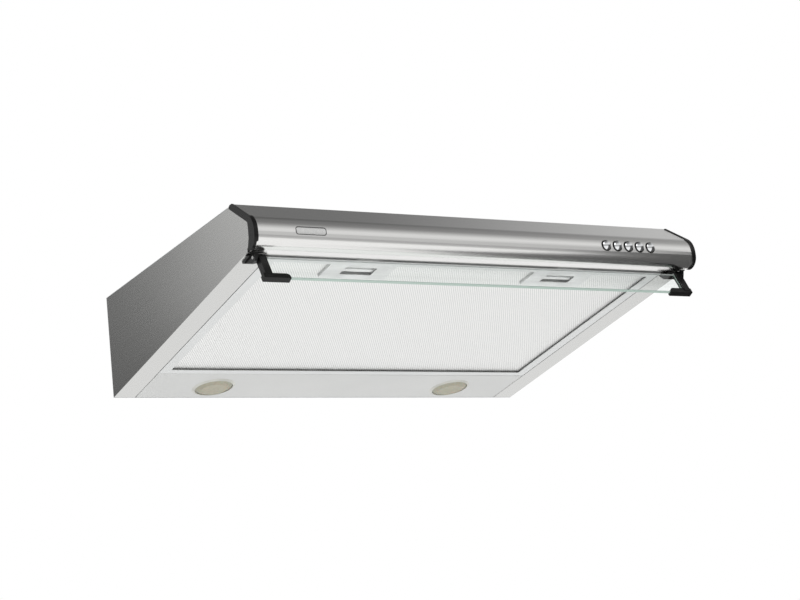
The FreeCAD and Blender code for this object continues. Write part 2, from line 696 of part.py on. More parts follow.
def filter_ring(margin, low, high):
    """A rectangular ring along the filter's edge, wall thick or lip wide on each side."""
    side, rear, front = margin
    outer = along_box(-FILTER_HALF, FILTER_HALF, FILTER_REAR, FILTER_FRONT, low, high)
    inner = along_box(-FILTER_HALF + side, FILTER_HALF - side, FILTER_REAR + rear, FILTER_FRONT - front,
                      low - OVERRUN, high + OVERRUN)
    return outer.cut(inner)


def filter_frame():
    walls = filter_ring((FILTER_WALL, FILTER_WALL, FILTER_WALL), 0, FILTER_THICKNESS)
    bottom = filter_ring((FILTER_SIDE_LIP, FILTER_REAR_LIP, FILTER_FRONT_LIP), 0, FILTER_LIP)
    top = filter_ring((FILTER_TOP_LIP, FILTER_TOP_LIP, FILTER_TOP_LIP),
                      FILTER_THICKNESS - FILTER_LIP, FILTER_THICKNESS)
    tabs = []
    for side in (-1, 1):
        x = side * TAB_X
        tabs.append(along_box(x - TAB_WIDTH / 2, x + TAB_WIDTH / 2, FILTER_REAR - TAB_REACH,
                              FILTER_REAR + FILTER_WALL, TAB_HEIGHT, TAB_HEIGHT + TAB_THICKNESS))
    frame = fused([walls, bottom, top] + tabs)
    tools = []
    for x in (LEFT_LATCH_X, RIGHT_LATCH_X):
        half = BOLT_WIDTH / 2 + BOLT_GAP
        tools.append(along_box(x - half, x + half, FILTER_FRONT - FILTER_WALL - BOLT_GAP,
                               FILTER_FRONT + OVERRUN, SLIDER_HEIGHT - BOLT_GAP,
                               SLIDER_HEIGHT + SLIDER_THICKNESS + BOLT_GAP))
    return tilted(frame.cut(tools))


def latch_pockets():
    """Room for the latches in the layers of mesh."""
    pockets = []
    for x in (LEFT_LATCH_X, RIGHT_LATCH_X):
        half = LATCH_WIDTH / 2 + LATCH_POCKET_GAP
        pockets.append(along_box(x - half, x + half, LATCH_REAR - LATCH_POCKET_GAP, FILTER_FRONT,
                                 -OVERRUN, FILTER_THICKNESS + OVERRUN))
    return pockets


def mesh_sheet(low):
    edge = FILTER_WALL + MESH_EDGE_GAP
    sheet = along_box(-FILTER_HALF + edge, FILTER_HALF - edge, FILTER_REAR + edge, FILTER_FRONT - edge,
                      low, low + MESH_THICKNESS)
    return tilted(sheet.cut(latch_pockets()))


def filter_core():
    """A pleated layer between the two meshes, folded across the width."""
    low = MESH_RECESS + MESH_THICKNESS
    high = MESH_TOP
    half_width = FILTER_HALF - FILTER_TOP_LIP
    folds = int(half_width * 2 / CORE_FOLD_PITCH)
    start = -folds * CORE_FOLD_PITCH / 2
    lower = []
    for i in range(folds + 1):
        x = start + i * CORE_FOLD_PITCH
        lower.append((x, low))
        if i < folds:
            lower.append((x + CORE_FOLD_PITCH / 2, high - CORE_SHEET))
    upper = [(x, z + CORE_SHEET) for x, z in reversed(lower)]
    rear = FILTER_REAR + FILTER_TOP_LIP
    corners = [Vector(x, -rear, z) for x, z in lower + upper]
    face = Part.Face(Part.makePolygon(corners + [corners[0]]))
    core = face.extrude(Vector(0, rear - FILTER_FRONT + FILTER_TOP_LIP, 0))
    return tilted(core.cut(latch_pockets()))


def latch_housing(x):
    """The pressed housing round a slider, with a finger slot in its smooth face."""
    half = LATCH_WIDTH / 2
    top = LATCH_HEIGHT
    front = FILTER_FRONT - FILTER_WALL - MESH_EDGE_GAP
    shell = along_box(x - half, x + half, LATCH_REAR, front, FILTER_LIP, top)
    room = along_box(x - half + LATCH_WALL, x + half - LATCH_WALL, LATCH_REAR + LATCH_WALL,
                     front + OVERRUN, FILTER_LIP - OVERRUN, top - LATCH_WALL)
    face = along_box(x - half, x + half, LATCH_REAR, LATCH_FRONT, 0, FILTER_LIP)
    slot = along_box(x - LATCH_SLOT_WIDTH / 2, x + LATCH_SLOT_WIDTH / 2, LATCH_SLOT_REAR,
                     LATCH_SLOT_FRONT, -OVERRUN, FILTER_LIP + LATCH_WALL)
    upright = [e for e in slot.Edges if e.BoundBox.ZLength > OVERRUN]
    slot = slot.makeFillet(LATCH_SLOT_RADIUS, upright)
    return tilted(fused([shell.cut(room), face]).cut(slot))


def latch_slider(x):
    """The slider: a finger bar, two arms round the finger room, and the bolt."""
    low = SLIDER_HEIGHT
    high = SLIDER_HEIGHT + SLIDER_THICKNESS
    front = LATCH_SLOT_FRONT + SLIDER_FRONT_BAR
    plate = along_box(x - SLIDER_HALF_WIDTH, x + SLIDER_HALF_WIDTH, SLIDER_REAR, front, low, high)
    room = along_box(x - SLIDER_HALF_WIDTH + SLIDER_ARM, x + SLIDER_HALF_WIDTH - SLIDER_ARM,
                     SLIDER_REAR + SLIDER_BAR, LATCH_SLOT_FRONT, low - OVERRUN, high + OVERRUN)
    bolt = along_box(x - BOLT_WIDTH / 2, x + BOLT_WIDTH / 2, front - SLIDER_FRONT_BAR / 2,
                     FILTER_FRONT + BOLT_REACH, low, high)
    slider = fused([plate.cut(room), bolt])
    nose = [e for e in slider.Edges
            if e.BoundBox.ZLength > SLIDER_THICKNESS / 2 and e.CenterOfMass.y < -FILTER_FRONT]
    return tilted(slider.makeFillet(BOLT_REACH / 2, nose))


def tangent_point(point, centre, radius, side):
    """Where the line from a point touches a circle, on the given side."""
    dx = point[0] - centre[0]
    dy = point[1] - centre[1]
    reach = math.hypot(dx, dy)
    turn = math.acos(radius / reach)
    angle = math.atan2(dy, dx) + side * turn
    return centre[0] + radius * math.cos(angle), centre[1] + radius * math.sin(angle)


def scroll_edges(inset, z):
    """Outline of the scroll, wound as four arcs and led into the round outlet chamber."""
    first = SCROLL_RADIUS - inset
    second = first + SCROLL_STEP
    third = second + SCROLL_STEP
    tongue = math.radians(SCROLL_TONGUE_ANGLE)
    chamber = CHAMBER_RADIUS - inset

    def at(x, y):
        return Vector(FAN_X + x, FAN_Y + y, z)

    def arc(cx, cy, radius, start, end):
        middle = (start + end) / 2
        points = [at(cx + radius * math.cos(a), cy + radius * math.sin(a)) for a in (start, middle, end)]
        return Part.Arc(points[0], points[1], points[2]).toShape()

    quarter = math.pi / 2
    nose = (first * math.cos(tongue), first * math.sin(tongue))
    crest = (SCROLL_STEP, SCROLL_STEP + third)
    centre = (OUTLET_X - FAN_X, OUTLET_Y - FAN_Y)
    upper = tangent_point(crest, centre, chamber, -1)
    lower = tangent_point(nose, centre, chamber, 1)
    start = math.atan2(upper[1] - centre[1], upper[0] - centre[0])
    end = math.atan2(lower[1] - centre[1], lower[0] - centre[0])
    if end > start:
        end -= 2 * math.pi
    return [
        arc(0, 0, first, tongue, -quarter),
        arc(0, SCROLL_STEP, second, -quarter, -2 * quarter),
        arc(SCROLL_STEP, SCROLL_STEP, third, 2 * quarter, quarter),
        Part.makeLine(at(crest[0], crest[1]), at(upper[0], upper[1])),
        arc(centre[0], centre[1], chamber, start, end),
        Part.makeLine(at(lower[0], lower[1]), at(nose[0], nose[1])),
    ]


def scroll_slab(inset, z0, z1):
    return slab_edges(scroll_edges(inset, z0), Vector(0, 0, z1 - z0))


def scroll_housing():
    """The moulded scroll: floor with a lipped inlet, and the wound wall up to the top panel."""
    shell = scroll_slab(0, SCROLL_FLOOR_Z, TOP_UNDERSIDE)
    room = scroll_slab(SCROLL_WALL, SCROLL_FLOOR_Z + SCROLL_WALL, TOP_UNDERSIDE + OVERRUN)
    lip_z = SCROLL_FLOOR_Z - INLET_LIP
    lip = rod_z(INLET_RADIUS + SCROLL_WALL, FAN_X, FAN_Y, lip_z, SCROLL_FLOOR_Z)
    eye = rod_z(INLET_RADIUS, FAN_X, FAN_Y, lip_z - OVERRUN, SCROLL_FLOOR_Z + OVERRUN)
    return joined([shell.cut(room), lip]).cut(eye)


def motor():
    """The motor can on its square plate under the top panel, with a bearing bore."""
    plate_z = TOP_UNDERSIDE - MOTOR_PLATE
    can = rod_z(MOTOR_RADIUS, FAN_X, FAN_Y, MOTOR_Z, plate_z)
    plate = post(MOTOR_PLATE_WIDTH, FAN_X, FAN_Y, plate_z, TOP_UNDERSIDE)
    bore_top = SHAFT_Z + SHAFT_LENGTH + SHAFT_TIP
    bore = rod_z(SHAFT_RADIUS + SHAFT_CLEARANCE, FAN_X, FAN_Y, MOTOR_Z - OVERRUN, bore_top)
    return joined([can, plate]).cut(bore)


def motor_shaft():
    return rod_z(SHAFT_RADIUS, FAN_X, FAN_Y, SHAFT_Z, SHAFT_Z + SHAFT_LENGTH)


def impeller_blade():
    """One forward-curved blade, folded once, between the ring and the back plate."""
    root = IMPELLER_RADIUS - BLADE_CHORD
    tip = IMPELLER_RADIUS - IMPELLER_RING_MARGIN
    sweep = -math.radians(BLADE_SWEEP_ANGLE)
    end = (tip * math.cos(sweep), tip * math.sin(sweep))
    fold = (root + (end[0] - root) * BLADE_BEND_SHARE, end[1] * BLADE_BEND_SHARE + BLADE_BOW)
    front = [(root, 0), fold, end]
    back = [(x, y + BLADE_THICKNESS) for x, y in reversed(front)]
    return slab_xy(front + back, IMPELLER_Z + IMPELLER_RING, IMPELLER_TOP - BACKPLATE_THICKNESS)


def impeller():
    """The drum of the blower: a ring, a deep hub cup and the blades between them."""
    top = IMPELLER_TOP
    wall = BACKPLATE_THICKNESS
    boss_z = HUB_Z + wall + HUB_LENGTH
    plate = revolved([
        (IMPELLER_RADIUS, top), (HUB_CUP_RADIUS - wall, top), (HUB_CUP_RADIUS - wall, HUB_Z + wall),
        (HUB_RADIUS, HUB_Z + wall), (HUB_RADIUS, boss_z), (SHAFT_RADIUS, boss_z), (SHAFT_RADIUS, HUB_Z),
        (HUB_CUP_RADIUS, HUB_Z), (HUB_CUP_RADIUS, top - wall), (IMPELLER_RADIUS, top - wall),
    ], ORIGIN.x, ORIGIN.y)
    inner = IMPELLER_RADIUS - BLADE_CHORD - IMPELLER_RING_MARGIN
    ring_top = IMPELLER_Z + IMPELLER_RING
    ring = revolved([
        (inner, IMPELLER_Z), (IMPELLER_RADIUS, IMPELLER_Z), (IMPELLER_RADIUS, ring_top), (inner, ring_top),
    ], ORIGIN.x, ORIGIN.y)
    blade = impeller_blade()
    blades = []
    for i in range(BLADE_COUNT):
        copy = blade.copy()
        copy.rotate(ORIGIN, Z_DIR, 360 * i / BLADE_COUNT)
        blades.append(copy)
    drum = plate.fuse([ring] + blades)
    drum.translate(Vector(FAN_X, FAN_Y, 0))
    return drum


def capacitor():
    """The motor capacitor, a potted block hung by two ears under the top panel."""
    half = CAPACITOR_WIDTH / 2
    block = box(CAPACITOR_X - half, CAPACITOR_X + half, CAPACITOR_Y - CAPACITOR_DEPTH / 2,
                CAPACITOR_Y + CAPACITOR_DEPTH / 2, TOP_UNDERSIDE - CAPACITOR_HEIGHT, TOP_UNDERSIDE)
    reach = half + CAPACITOR_EAR
    ears = box(CAPACITOR_X - reach, CAPACITOR_X + reach, CAPACITOR_Y - CAPACITOR_EAR / 2,
               CAPACITOR_Y + CAPACITOR_EAR / 2, TOP_UNDERSIDE - CAPACITOR_EAR_THICKNESS, TOP_UNDERSIDE)
    return fused([block, ears])


def collar_lugs(gap, z0, z1):
    """The upright parts of the collar's two lugs, or their slots with a gap all round."""
    lugs = []
    x = DUCT_RADIUS + COLLAR_LUG_INSET
    half = COLLAR_LUG_WIDTH / 2 + gap
    for side in (-1, 1):
        near = OUTLET_X + side * (x - gap)
        far = OUTLET_X + side * (x + COLLAR_LUG_THICKNESS + gap)
        lugs.append(box(min(near, far), max(near, far), OUTLET_Y - half, OUTLET_Y + half, z0, z1))
    return lugs


def collar_feet():
    """The hooks of the lugs, gripping the top panel from below."""
    feet = []
    x = DUCT_RADIUS + COLLAR_LUG_INSET
    half = COLLAR_LUG_WIDTH / 2
    for side in (-1, 1):
        near = OUTLET_X + side * x
        far = OUTLET_X + side * (x + COLLAR_LUG_THICKNESS + COLLAR_LUG_HOOK)
        feet.append(box(min(near, far), max(near, far), OUTLET_Y - half, OUTLET_Y + half,
                        TOP_UNDERSIDE - COLLAR_LUG_THICKNESS, TOP_UNDERSIDE))
    return feet


def outlet_collar():
    """The duct collar on its square plate, clipped into the top panel."""
    plate_z = Z_TOP + COLLAR_PLATE
    width = 2 * (COLLAR_RADIUS + COLLAR_PLATE_MARGIN)
    plate = post(width, OUTLET_X, OUTLET_Y, Z_TOP, plate_z)
    tube = rod_z(COLLAR_RADIUS, OUTLET_X, OUTLET_Y, Z_TOP, Z_TOP + COLLAR_HEIGHT)
    duct = rod_z(DUCT_RADIUS, OUTLET_X, OUTLET_Y, Z_TOP - OVERRUN, Z_TOP + COLLAR_HEIGHT + OVERRUN)
    lugs = collar_lugs(0, TOP_UNDERSIDE - COLLAR_LUG_THICKNESS, Z_TOP)
    seat = box(OUTLET_X - COLLAR_RADIUS - OVERRUN, OUTLET_X + COLLAR_RADIUS + OVERRUN,
               OUTLET_Y - SPINDLE_RADIUS, OUTLET_Y + SPINDLE_RADIUS,
               SPINDLE_Z - SPINDLE_RADIUS, SPINDLE_Z + SPINDLE_RADIUS)
    return fused([plate, tube] + lugs + collar_feet()).cut([duct, seat])


def damper_spindle():
    return rod_x(SPINDLE_RADIUS, OUTLET_X - COLLAR_RADIUS, OUTLET_X + COLLAR_RADIUS, OUTLET_Y, SPINDLE_Z)


def knuckle_block(side, place, margin, y0, y1, z0, z1):
    """A block at the place of a flap's knuckle, between two distances from the spindle."""
    middle = OUTLET_X + place + side * (KNUCKLE_LENGTH + KNUCKLE_GAP) / 2
    half = KNUCKLE_LENGTH / 2 + margin
    return box(middle - half, middle + half, OUTLET_Y + min(y0, y1), OUTLET_Y + max(y0, y1),
               SPINDLE_Z + z0, SPINDLE_Z + z1)


def damper_flap(side):
    """One half-moon flap that hangs on the spindle by two open knuckles."""
    radius = DUCT_RADIUS - FLAP_GAP
    reach = radius + OVERRUN
    thick = FLAP_THICKNESS / 2
    depth = KNUCKLE_HEIGHT / 2
    swing = math.hypot(depth, depth) + KNUCKLE_GAP
    near = OUTLET_Y + side * FLAP_ROOT
    far = OUTLET_Y + side * reach
    moon = rod_z(radius, OUTLET_X, OUTLET_Y, SPINDLE_Z - thick, SPINDLE_Z + thick)
    moon = moon.common(box(OUTLET_X - reach, OUTLET_X + reach, min(near, far), max(near, far),
                           SPINDLE_Z - thick, SPINDLE_Z + thick))
    pieces = [moon]
    bore = SPINDLE_RADIUS + FLAP_CLEARANCE
    tools = [rod_x(bore, OUTLET_X - reach, OUTLET_X + reach, OUTLET_Y, SPINDLE_Z)]
    for place in (-KNUCKLE_OFFSET, KNUCKLE_OFFSET):
        pieces.append(knuckle_block(side, place, 0, -depth, depth, -depth, depth))
        pieces.append(knuckle_block(side, place, 0, side * depth, side * (FLAP_ROOT + thick), -thick, thick))
        tools.append(knuckle_block(side, place, 0, 0, -side * reach, -KNUCKLE_MOUTH / 2, KNUCKLE_MOUTH / 2))
        tools.append(knuckle_block(-side, place, KNUCKLE_GAP / 2, 0, side * swing, -swing, swing))
    return fused(pieces).cut(tools)


def stem_box(x, width, y0, y1):
    return box(x - width / 2, x + width / 2, y0, y1, BUTTON_Z - width / 2, BUTTON_Z + width / 2)


def button(x):
    """A round chromed cap on a square stem that runs in the switch block."""
    face = FASCIA_FACE_Y - BUTTON_PROUD
    back = face + BUTTON_LENGTH
    cap = rod_y(BUTTON_RADIUS, x, face, back, BUTTON_Z)
    return fused([cap, stem_box(x, BUTTON_STEM_WIDTH, back, back + BUTTON_STEM)])


def switch_block():
    """The switch bank behind the fascia, with a guide for each stem and rear terminals."""
    places = button_places()
    x0 = places[0] - BUTTON_RADIUS - SWITCH_BLOCK_MARGIN
    x1 = places[-1] + BUTTON_RADIUS + SWITCH_BLOCK_MARGIN
    low = BUTTON_Z - SWITCH_BLOCK_HEIGHT / 2
    high = BUTTON_Z + SWITCH_BLOCK_HEIGHT / 2
    block = box(x0, x1, SWITCH_FRONT_Y, SWITCH_BACK_Y, low, high)
    guide = BUTTON_STEM_WIDTH + 2 * BUTTON_STEM_CLEARANCE
    tools = [stem_box(x, guide, SWITCH_FRONT_Y - OVERRUN, SWITCH_BACK_Y - SWITCH_BLOCK_FLOOR) for x in places]
    block = block.cut(tools)
    tongue_y = SWITCH_BACK_Y - SWITCH_TERMINAL
    half = SWITCH_TERMINAL_WIDTH / 2
    back_y = tongue_y + SWITCH_TERMINAL_SHEET
    tongues = [box(x - half, x + half, tongue_y, back_y, high, high + SWITCH_TERMINAL) for x in places]
    return fused([block] + tongues)


def terminal_box():
    """The open-topped junction box under the top panel, without its cover."""
    z1 = TOP_UNDERSIDE
    z0 = z1 - TERMINAL_HEIGHT
    half_x = TERMINAL_WIDTH / 2
    half_y = TERMINAL_DEPTH / 2
    shell = box(TERMINAL_X - half_x, TERMINAL_X + half_x, TERMINAL_Y - half_y, TERMINAL_Y + half_y,
                z0 + TERMINAL_COVER, z1)
    room = box(TERMINAL_X - half_x + SCROLL_WALL, TERMINAL_X + half_x - SCROLL_WALL,
               TERMINAL_Y - half_y + SCROLL_WALL, TERMINAL_Y + half_y - SCROLL_WALL,
               z0, z1 - SCROLL_WALL)
    return shell.cut(room)


def terminal_cover():
    """The cover that closes the junction box from below."""
    z1 = TOP_UNDERSIDE - TERMINAL_HEIGHT + TERMINAL_COVER
    half_x = TERMINAL_WIDTH / 2
    half_y = TERMINAL_DEPTH / 2
    return box(TERMINAL_X - half_x, TERMINAL_X + half_x, TERMINAL_Y - half_y, TERMINAL_Y + half_y,
               z1 - TERMINAL_COVER, z1)


def cable_gland():
    """The square strain relief in the top panel through which the mains cable enters."""
    top = Z_TOP + GLAND_HEAD
    bottom = TOP_UNDERSIDE - GLAND_CATCH
    body = post(GLAND_WIDTH, GLAND_X, GLAND_Y, bottom, top)
    head = post(GLAND_HEAD_WIDTH, GLAND_X, GLAND_Y, Z_TOP, Z_TOP + GLAND_CATCH)
    catch = post(GLAND_CATCH_WIDTH, GLAND_X, GLAND_Y, bottom, TOP_UNDERSIDE)
    bore = rod_z(GLAND_BORE, GLAND_X, GLAND_Y, bottom - OVERRUN, top + OVERRUN)
    return fused([body, head, catch]).cut(bore)


def bracket_plate():
    """The foot of the visor bracket on the side flange, drawn in inboard to a wing."""
    outer = BRACKET_OUTER_INSET - HALF_WIDTH
    inner = BRACKET_INNER_INSET - HALF_WIDTH
    shoulder = inner - BRACKET_TAPER
    wing = (BRACKET_STEP + BRACKET_REAR) / 2
    half = BRACKET_TAPER / 4
    rear = BRACKET_REAR + BRACKET_TAPER
    seat = slab_xy([(outer, -BRACKET_REAR), (outer, -BRACKET_STEP), (shoulder, -BRACKET_STEP),
                    (inner, -wing - half), (inner, -wing + half), (shoulder, -BRACKET_REAR)], -BRACKET_PLATE, 0)
    nose = slab_xy([(outer, -rear), (outer, -BRACKET_FRONT), (shoulder, -BRACKET_FRONT), (shoulder, -rear)],
                   -BRACKET_PLATE, -BRACKET_STEP_DROP)
    return tilted(fused([seat, nose]))


def bracket_ear(x0, x1):
    """A wedge-shaped ear that carries the pivot pin."""
    def place(along, drop):
        return (-along * SLOPE_COS - drop * SLOPE_SIN, Z_BACK_BOTTOM + along * SLOPE_SIN - drop * SLOPE_COS)

    low = PIVOT_DROP + EAR_NOSE
    return slab_yz([
        place(BRACKET_REAR, BRACKET_STEP_DROP), place(BRACKET_FRONT, BRACKET_STEP_DROP),
        place(PIVOT_ALONG + EAR_NOSE, PIVOT_DROP), place(PIVOT_ALONG + EAR_NOSE / 2, low),
        place(PIVOT_ALONG - EAR_NOSE, low), place(BRACKET_REAR, BRACKET_PLATE),
    ], x0, x1)


def left_visor_bracket():
    """The bracket under the side flange, with one ear outboard of the arm."""
    ear = bracket_ear(-ARM_OUT_X - ARM_EAR_GAP - EAR_THICKNESS, -ARM_OUT_X - ARM_EAR_GAP)
    reach = ARM_DEPTH / 2 + ARM_EAR_GAP
    groove = tilted(along_box(-ARM_OUT_X - ARM_EAR_GAP, -ARM_IN_X + ARM_EAR_GAP, PIVOT_ALONG - reach,
                              PIVOT_ALONG + reach, -PIVOT_DROP - reach, reach - PIVOT_DROP))
    pin = rod_x(PIN_RADIUS, -HALF_WIDTH, 0, PIVOT_Y, PIVOT_Z)
    return fused([bracket_plate(), ear]).cut([groove, pin])


def visor_pins():
    """The pivot pins of the two arms, as one group."""
    outer_end = -ARM_OUT_X - ARM_EAR_GAP - EAR_THICKNESS - PIN_HEAD
    pin = rod_x(PIN_RADIUS, outer_end, -ARM_IN_X, PIVOT_Y, PIVOT_Z)
    return Part.makeCompound([pin, mirrored(pin)])


def visor_place(down, front):
    """Y, Z of a point of the visor, down the glass from the pivot and in front of its middle."""
    s = math.sin(math.radians(VISOR_ANGLE))
    c = math.cos(math.radians(VISOR_ANGLE))
    return PIVOT_Y - down * s - front * c, PIVOT_Z - down * c + front * s


def visor_slab(outline, x0, x1):
    """A piece of the visor from an outline of distances down and in front."""
    return slab_yz([visor_place(down, front) for down, front in outline], x0, x1)


def visor_foot():
    """The clip that holds a lower corner of the glass, rounded off inboard."""
    half = GLASS_THICKNESS / 2 + GLASS_GAP + FOOT_WALL
    top = GLASS_BOTTOM - FOOT_GRIP
    low = GLASS_BOTTOM + GLASS_GAP + FOOT_FLOOR
    inner = FOOT_INNER_INSET - HALF_WIDTH
    foot = visor_slab([(top, -half), (low, -half), (low, half), (top, half)],
                      FOOT_OUTER_INSET - HALF_WIDTH, inner)
    ends = [e for e in foot.Edges if e.BoundBox.XMin > inner - FOOT_WALL and e.Length > half]
    corner = max((e for e in ends if abs(e.Length - 2 * half) < FOOT_WALL / 4), key=lambda e: e.CenterOfMass.z)
    return foot.makeFillet(FOOT_CORNER, [corner])


def left_visor_arm():
    """The arm and its foot, one moulding, rounded off round the pin."""
    half = ARM_DEPTH / 2
    low = GLASS_BOTTOM + GLASS_GAP + FOOT_FLOOR
    shank = visor_slab([(0, -half), (low - ARM_CHAMFER, -half), (low, ARM_CHAMFER - half),
                        (low, half - ARM_CHAMFER), (low - ARM_CHAMFER, half), (0, half)], -ARM_OUT_X, -ARM_IN_X)
    boss = rod_x(half, -ARM_OUT_X, -ARM_IN_X, PIVOT_Y, PIVOT_Z)
    room = GLASS_THICKNESS / 2 + GLASS_GAP
    slot = visor_slab([(0, -room), (GLASS_BOTTOM + GLASS_GAP, -room), (GLASS_BOTTOM + GLASS_GAP, room),
                       (0, room)], -ARM_IN_X, 0)
    pin = rod_x(PIN_RADIUS + PIN_CLEARANCE, -HALF_WIDTH, 0, PIVOT_Y, PIVOT_Z)
    return fused([visor_foot(), shank, boss]).cut([slot, pin])


def visor_glass():
    half = GLASS_THICKNESS / 2
    reach = ARM_IN_X - GLASS_END_GAP
    return visor_slab([(GLASS_TOP, -half), (GLASS_BOTTOM, -half), (GLASS_BOTTOM, half), (GLASS_TOP, half)],
                      -reach, reach)


def fixed_parts():
    return {
        "top_panel": top_panel(),
        "back_panel": back_panel(),
        "fascia": fascia(),
        "front_rail": front_rail(),
        "lamp_panel": lamp_panel(),
        "lamp_bezels": lamp_bezels(),
        "lamp_lenses": lamp_lenses(),
        "lamp_housings": lamp_housings(),
        "lamp_bulbs": lamp_bulbs(),
        "visor_pins": visor_pins(),
        "scroll_housing": scroll_housing(),
        "motor": motor(),
        "capacitor": capacitor(),
        "outlet_collar": outlet_collar(),
        "damper_spindle": damper_spindle(),
        "switch_block": switch_block(),
        "terminal_box": terminal_box(),
        "terminal_cover": terminal_cover(),
        "cable_gland": cable_gland(),
    }


def moving_parts():
    parts = {
        "impeller": impeller(),
        "motor_shaft": motor_shaft(),
        "front_damper_flap": damper_flap(-1),
        "rear_damper_flap": damper_flap(1),
        "filter_frame": filter_frame(),
        "filter_face_mesh": mesh_sheet(MESH_RECESS),
        "filter_core": filter_core(),
        "filter_back_mesh": mesh_sheet(MESH_TOP),
        "left_latch_housing": latch_housing(LEFT_LATCH_X),
        "right_latch_housing": latch_housing(RIGHT_LATCH_X),
        "left_latch_slider": latch_slider(LEFT_LATCH_X),
        "right_latch_slider": latch_slider(RIGHT_LATCH_X),
        "visor_glass": visor_glass(),
    }
    for i, x in enumerate(button_places()):
        parts["button_" + str(i + 1)] = button(x)
    return parts


def paired_parts():
    """Pieces that come as a left one and its mirrored right one."""
    lefts = {
        "side_panel": left_side_panel(),
        "end_cap": left_end_cap(),
        "visor_bracket": left_visor_bracket(),
        "visor_arm": left_visor_arm(),
    }
    parts = {}
    for name, shape in lefts.items():
        parts["left_" + name] = shape
        parts["right_" + name] = mirrored(shape)
    return parts


def main():
    os.makedirs("parts", exist_ok=True)
    parts = {}
    parts.update(fixed_parts())
    parts.update(moving_parts())
    parts.update(paired_parts())
    for name, shape in parts.items():
        shape.exportStep("parts/" + name + ".step")


main()
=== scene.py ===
import json
import math
import bpy
import bmesh
from mathutils import Matrix, Vector


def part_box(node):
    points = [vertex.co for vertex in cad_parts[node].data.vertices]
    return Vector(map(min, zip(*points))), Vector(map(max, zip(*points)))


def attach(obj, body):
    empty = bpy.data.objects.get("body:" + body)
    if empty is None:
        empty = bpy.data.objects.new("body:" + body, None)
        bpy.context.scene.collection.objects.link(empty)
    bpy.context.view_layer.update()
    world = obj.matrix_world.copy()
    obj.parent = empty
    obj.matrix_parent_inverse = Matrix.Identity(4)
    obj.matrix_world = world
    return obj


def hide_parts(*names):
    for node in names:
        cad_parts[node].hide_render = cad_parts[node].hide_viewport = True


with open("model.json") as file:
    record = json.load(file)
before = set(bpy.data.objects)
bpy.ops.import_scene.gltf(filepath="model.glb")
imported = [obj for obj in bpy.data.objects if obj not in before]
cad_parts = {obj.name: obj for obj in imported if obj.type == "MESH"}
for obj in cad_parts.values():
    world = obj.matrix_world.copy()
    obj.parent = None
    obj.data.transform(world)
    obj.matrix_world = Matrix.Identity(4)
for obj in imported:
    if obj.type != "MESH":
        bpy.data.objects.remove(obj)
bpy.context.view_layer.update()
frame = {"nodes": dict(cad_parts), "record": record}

# Looks of the range hood: materials for its solids, and finer shapes for its buttons, pane and plate.
# Metres. X points right seen from the front, Y points at the wall, Z points up.

MM = 0.001

# Camera, as solved from the photograph's perspective, with lens and sensor in millimetres
CAMERA_PLACE = Vector((-1.13297, -2.10843, -0.53445))
CAMERA_RIGHT = Vector((0.8654, -0.4889, -0.1097))
CAMERA_DOWN = Vector((0.0261, 0.2627, -0.9646))
CAMERA_LENS = 81.82
CAMERA_SENSOR = 36.0

# Floor, with its own white and how much of that each kind of ray meets
FLOOR_RADIUS = 14.0
FLOOR_FADE_START = 3.5
FLOOR_STEPS = 96
FLOOR_Z = -2.4
FLOOR_GLOW = 1.0
FLOOR_GLOW_SHARES = {"Is Camera Ray": 0.78, "Is Glossy Ray": 1.0, "Is Transmission Ray": 0.78}

# Light of the room by elevation, in degrees and as strength
ROOM_BANDS = (
    (-90.0, 1.00), (-19.0, 0.85), (-4.0, 0.52), (7.0, 0.42), (17.0, 0.60), (27.0, 0.86), (36.0, 0.74),
    (50.0, 0.38), (62.0, 0.18), (75.0, 0.20), (90.0, 0.50),
)
NEW_STOP_PLACE = 0.5

# Share of that light by direction, of which the larger counts: towards the back by Y, and towards
# the right by X. Each gives where its change starts and ends, and the share at both ends.
ROOM_BACK = (0.0, 0.5, 1.0, 0.30)
ROOM_RIGHT = (0.46, 0.64, 0.28, 0.84)

# Softboxes: place, what they face, size and radiance
SOFTBOXES = {
    "back_softbox": ((-0.3, 1.2, 2.1), (0.0, -0.3, 0.0), 1.4, 0.7),
    "left_back_softbox": ((-1.0, 0.5, 0.5), (-0.3, -0.35, 0.0), 0.65, 0.58),
    "top_softbox": ((-0.8, -1.0, 1.2), (0.0, -0.2, 0.0), 1.0, 2.0),
}
FILL_SOFTBOX = ((0.0, -0.5, -1.3), (0.0, -0.2, 0.0), 2.4, 1.32)

# A dark flag right of the hood, which only reflections show
FLAG_X = 0.60
FLAG_Y = (-1.05, -0.10)
FLAG_Z = (-1.05, 0.15)

# Curved front of the hood, as the solids have it
ARC_CENTRE_Y = -416.0 * MM
ARC_CENTRE_Z = 19.8 * MM
ARC_RADIUS = 23.0 * MM

# Bare plate on the curved front
PLATE_X = -230.6 * MM
PLATE_RISE = 2.6 * MM
PLATE_WIDTH = 37.5 * MM
PLATE_HEIGHT = 9.6 * MM
PLATE_CORNER = 3.2 * MM
PLATE_THICKNESS = 0.5 * MM
PLATE_STEPS = 8

# Rings of the plate: inset from its outline, and height as a share of its thickness
PLATE_RIM_RINGS = ((0.0, 0.0), (0.15 * MM, 1.0), (0.66 * MM, 1.0), (0.88 * MM, 0.5))
PLATE_FIELD_RINGS = ((0.77 * MM, 0.4), (1.1 * MM, 0.7), (1.76 * MM, 0.75))

# Push buttons
BUTTON_COUNT = 5
BUTTON_EDGE = 0.9 * MM
BUTTON_DOME = 2.4 * MM
BUTTON_STEPS = 48
BUTTON_RINGS = 10
BUTTON_CAP = 5.8 * MM
BUTTON_STEM = 5.0 * MM
CROWN_MARGIN = 0.09 * MM
# Slots of the chrome crown, and of the black body that is painted shade round it
CROWN_SLOT = 0
SHADED_BODY_SLOT = 1

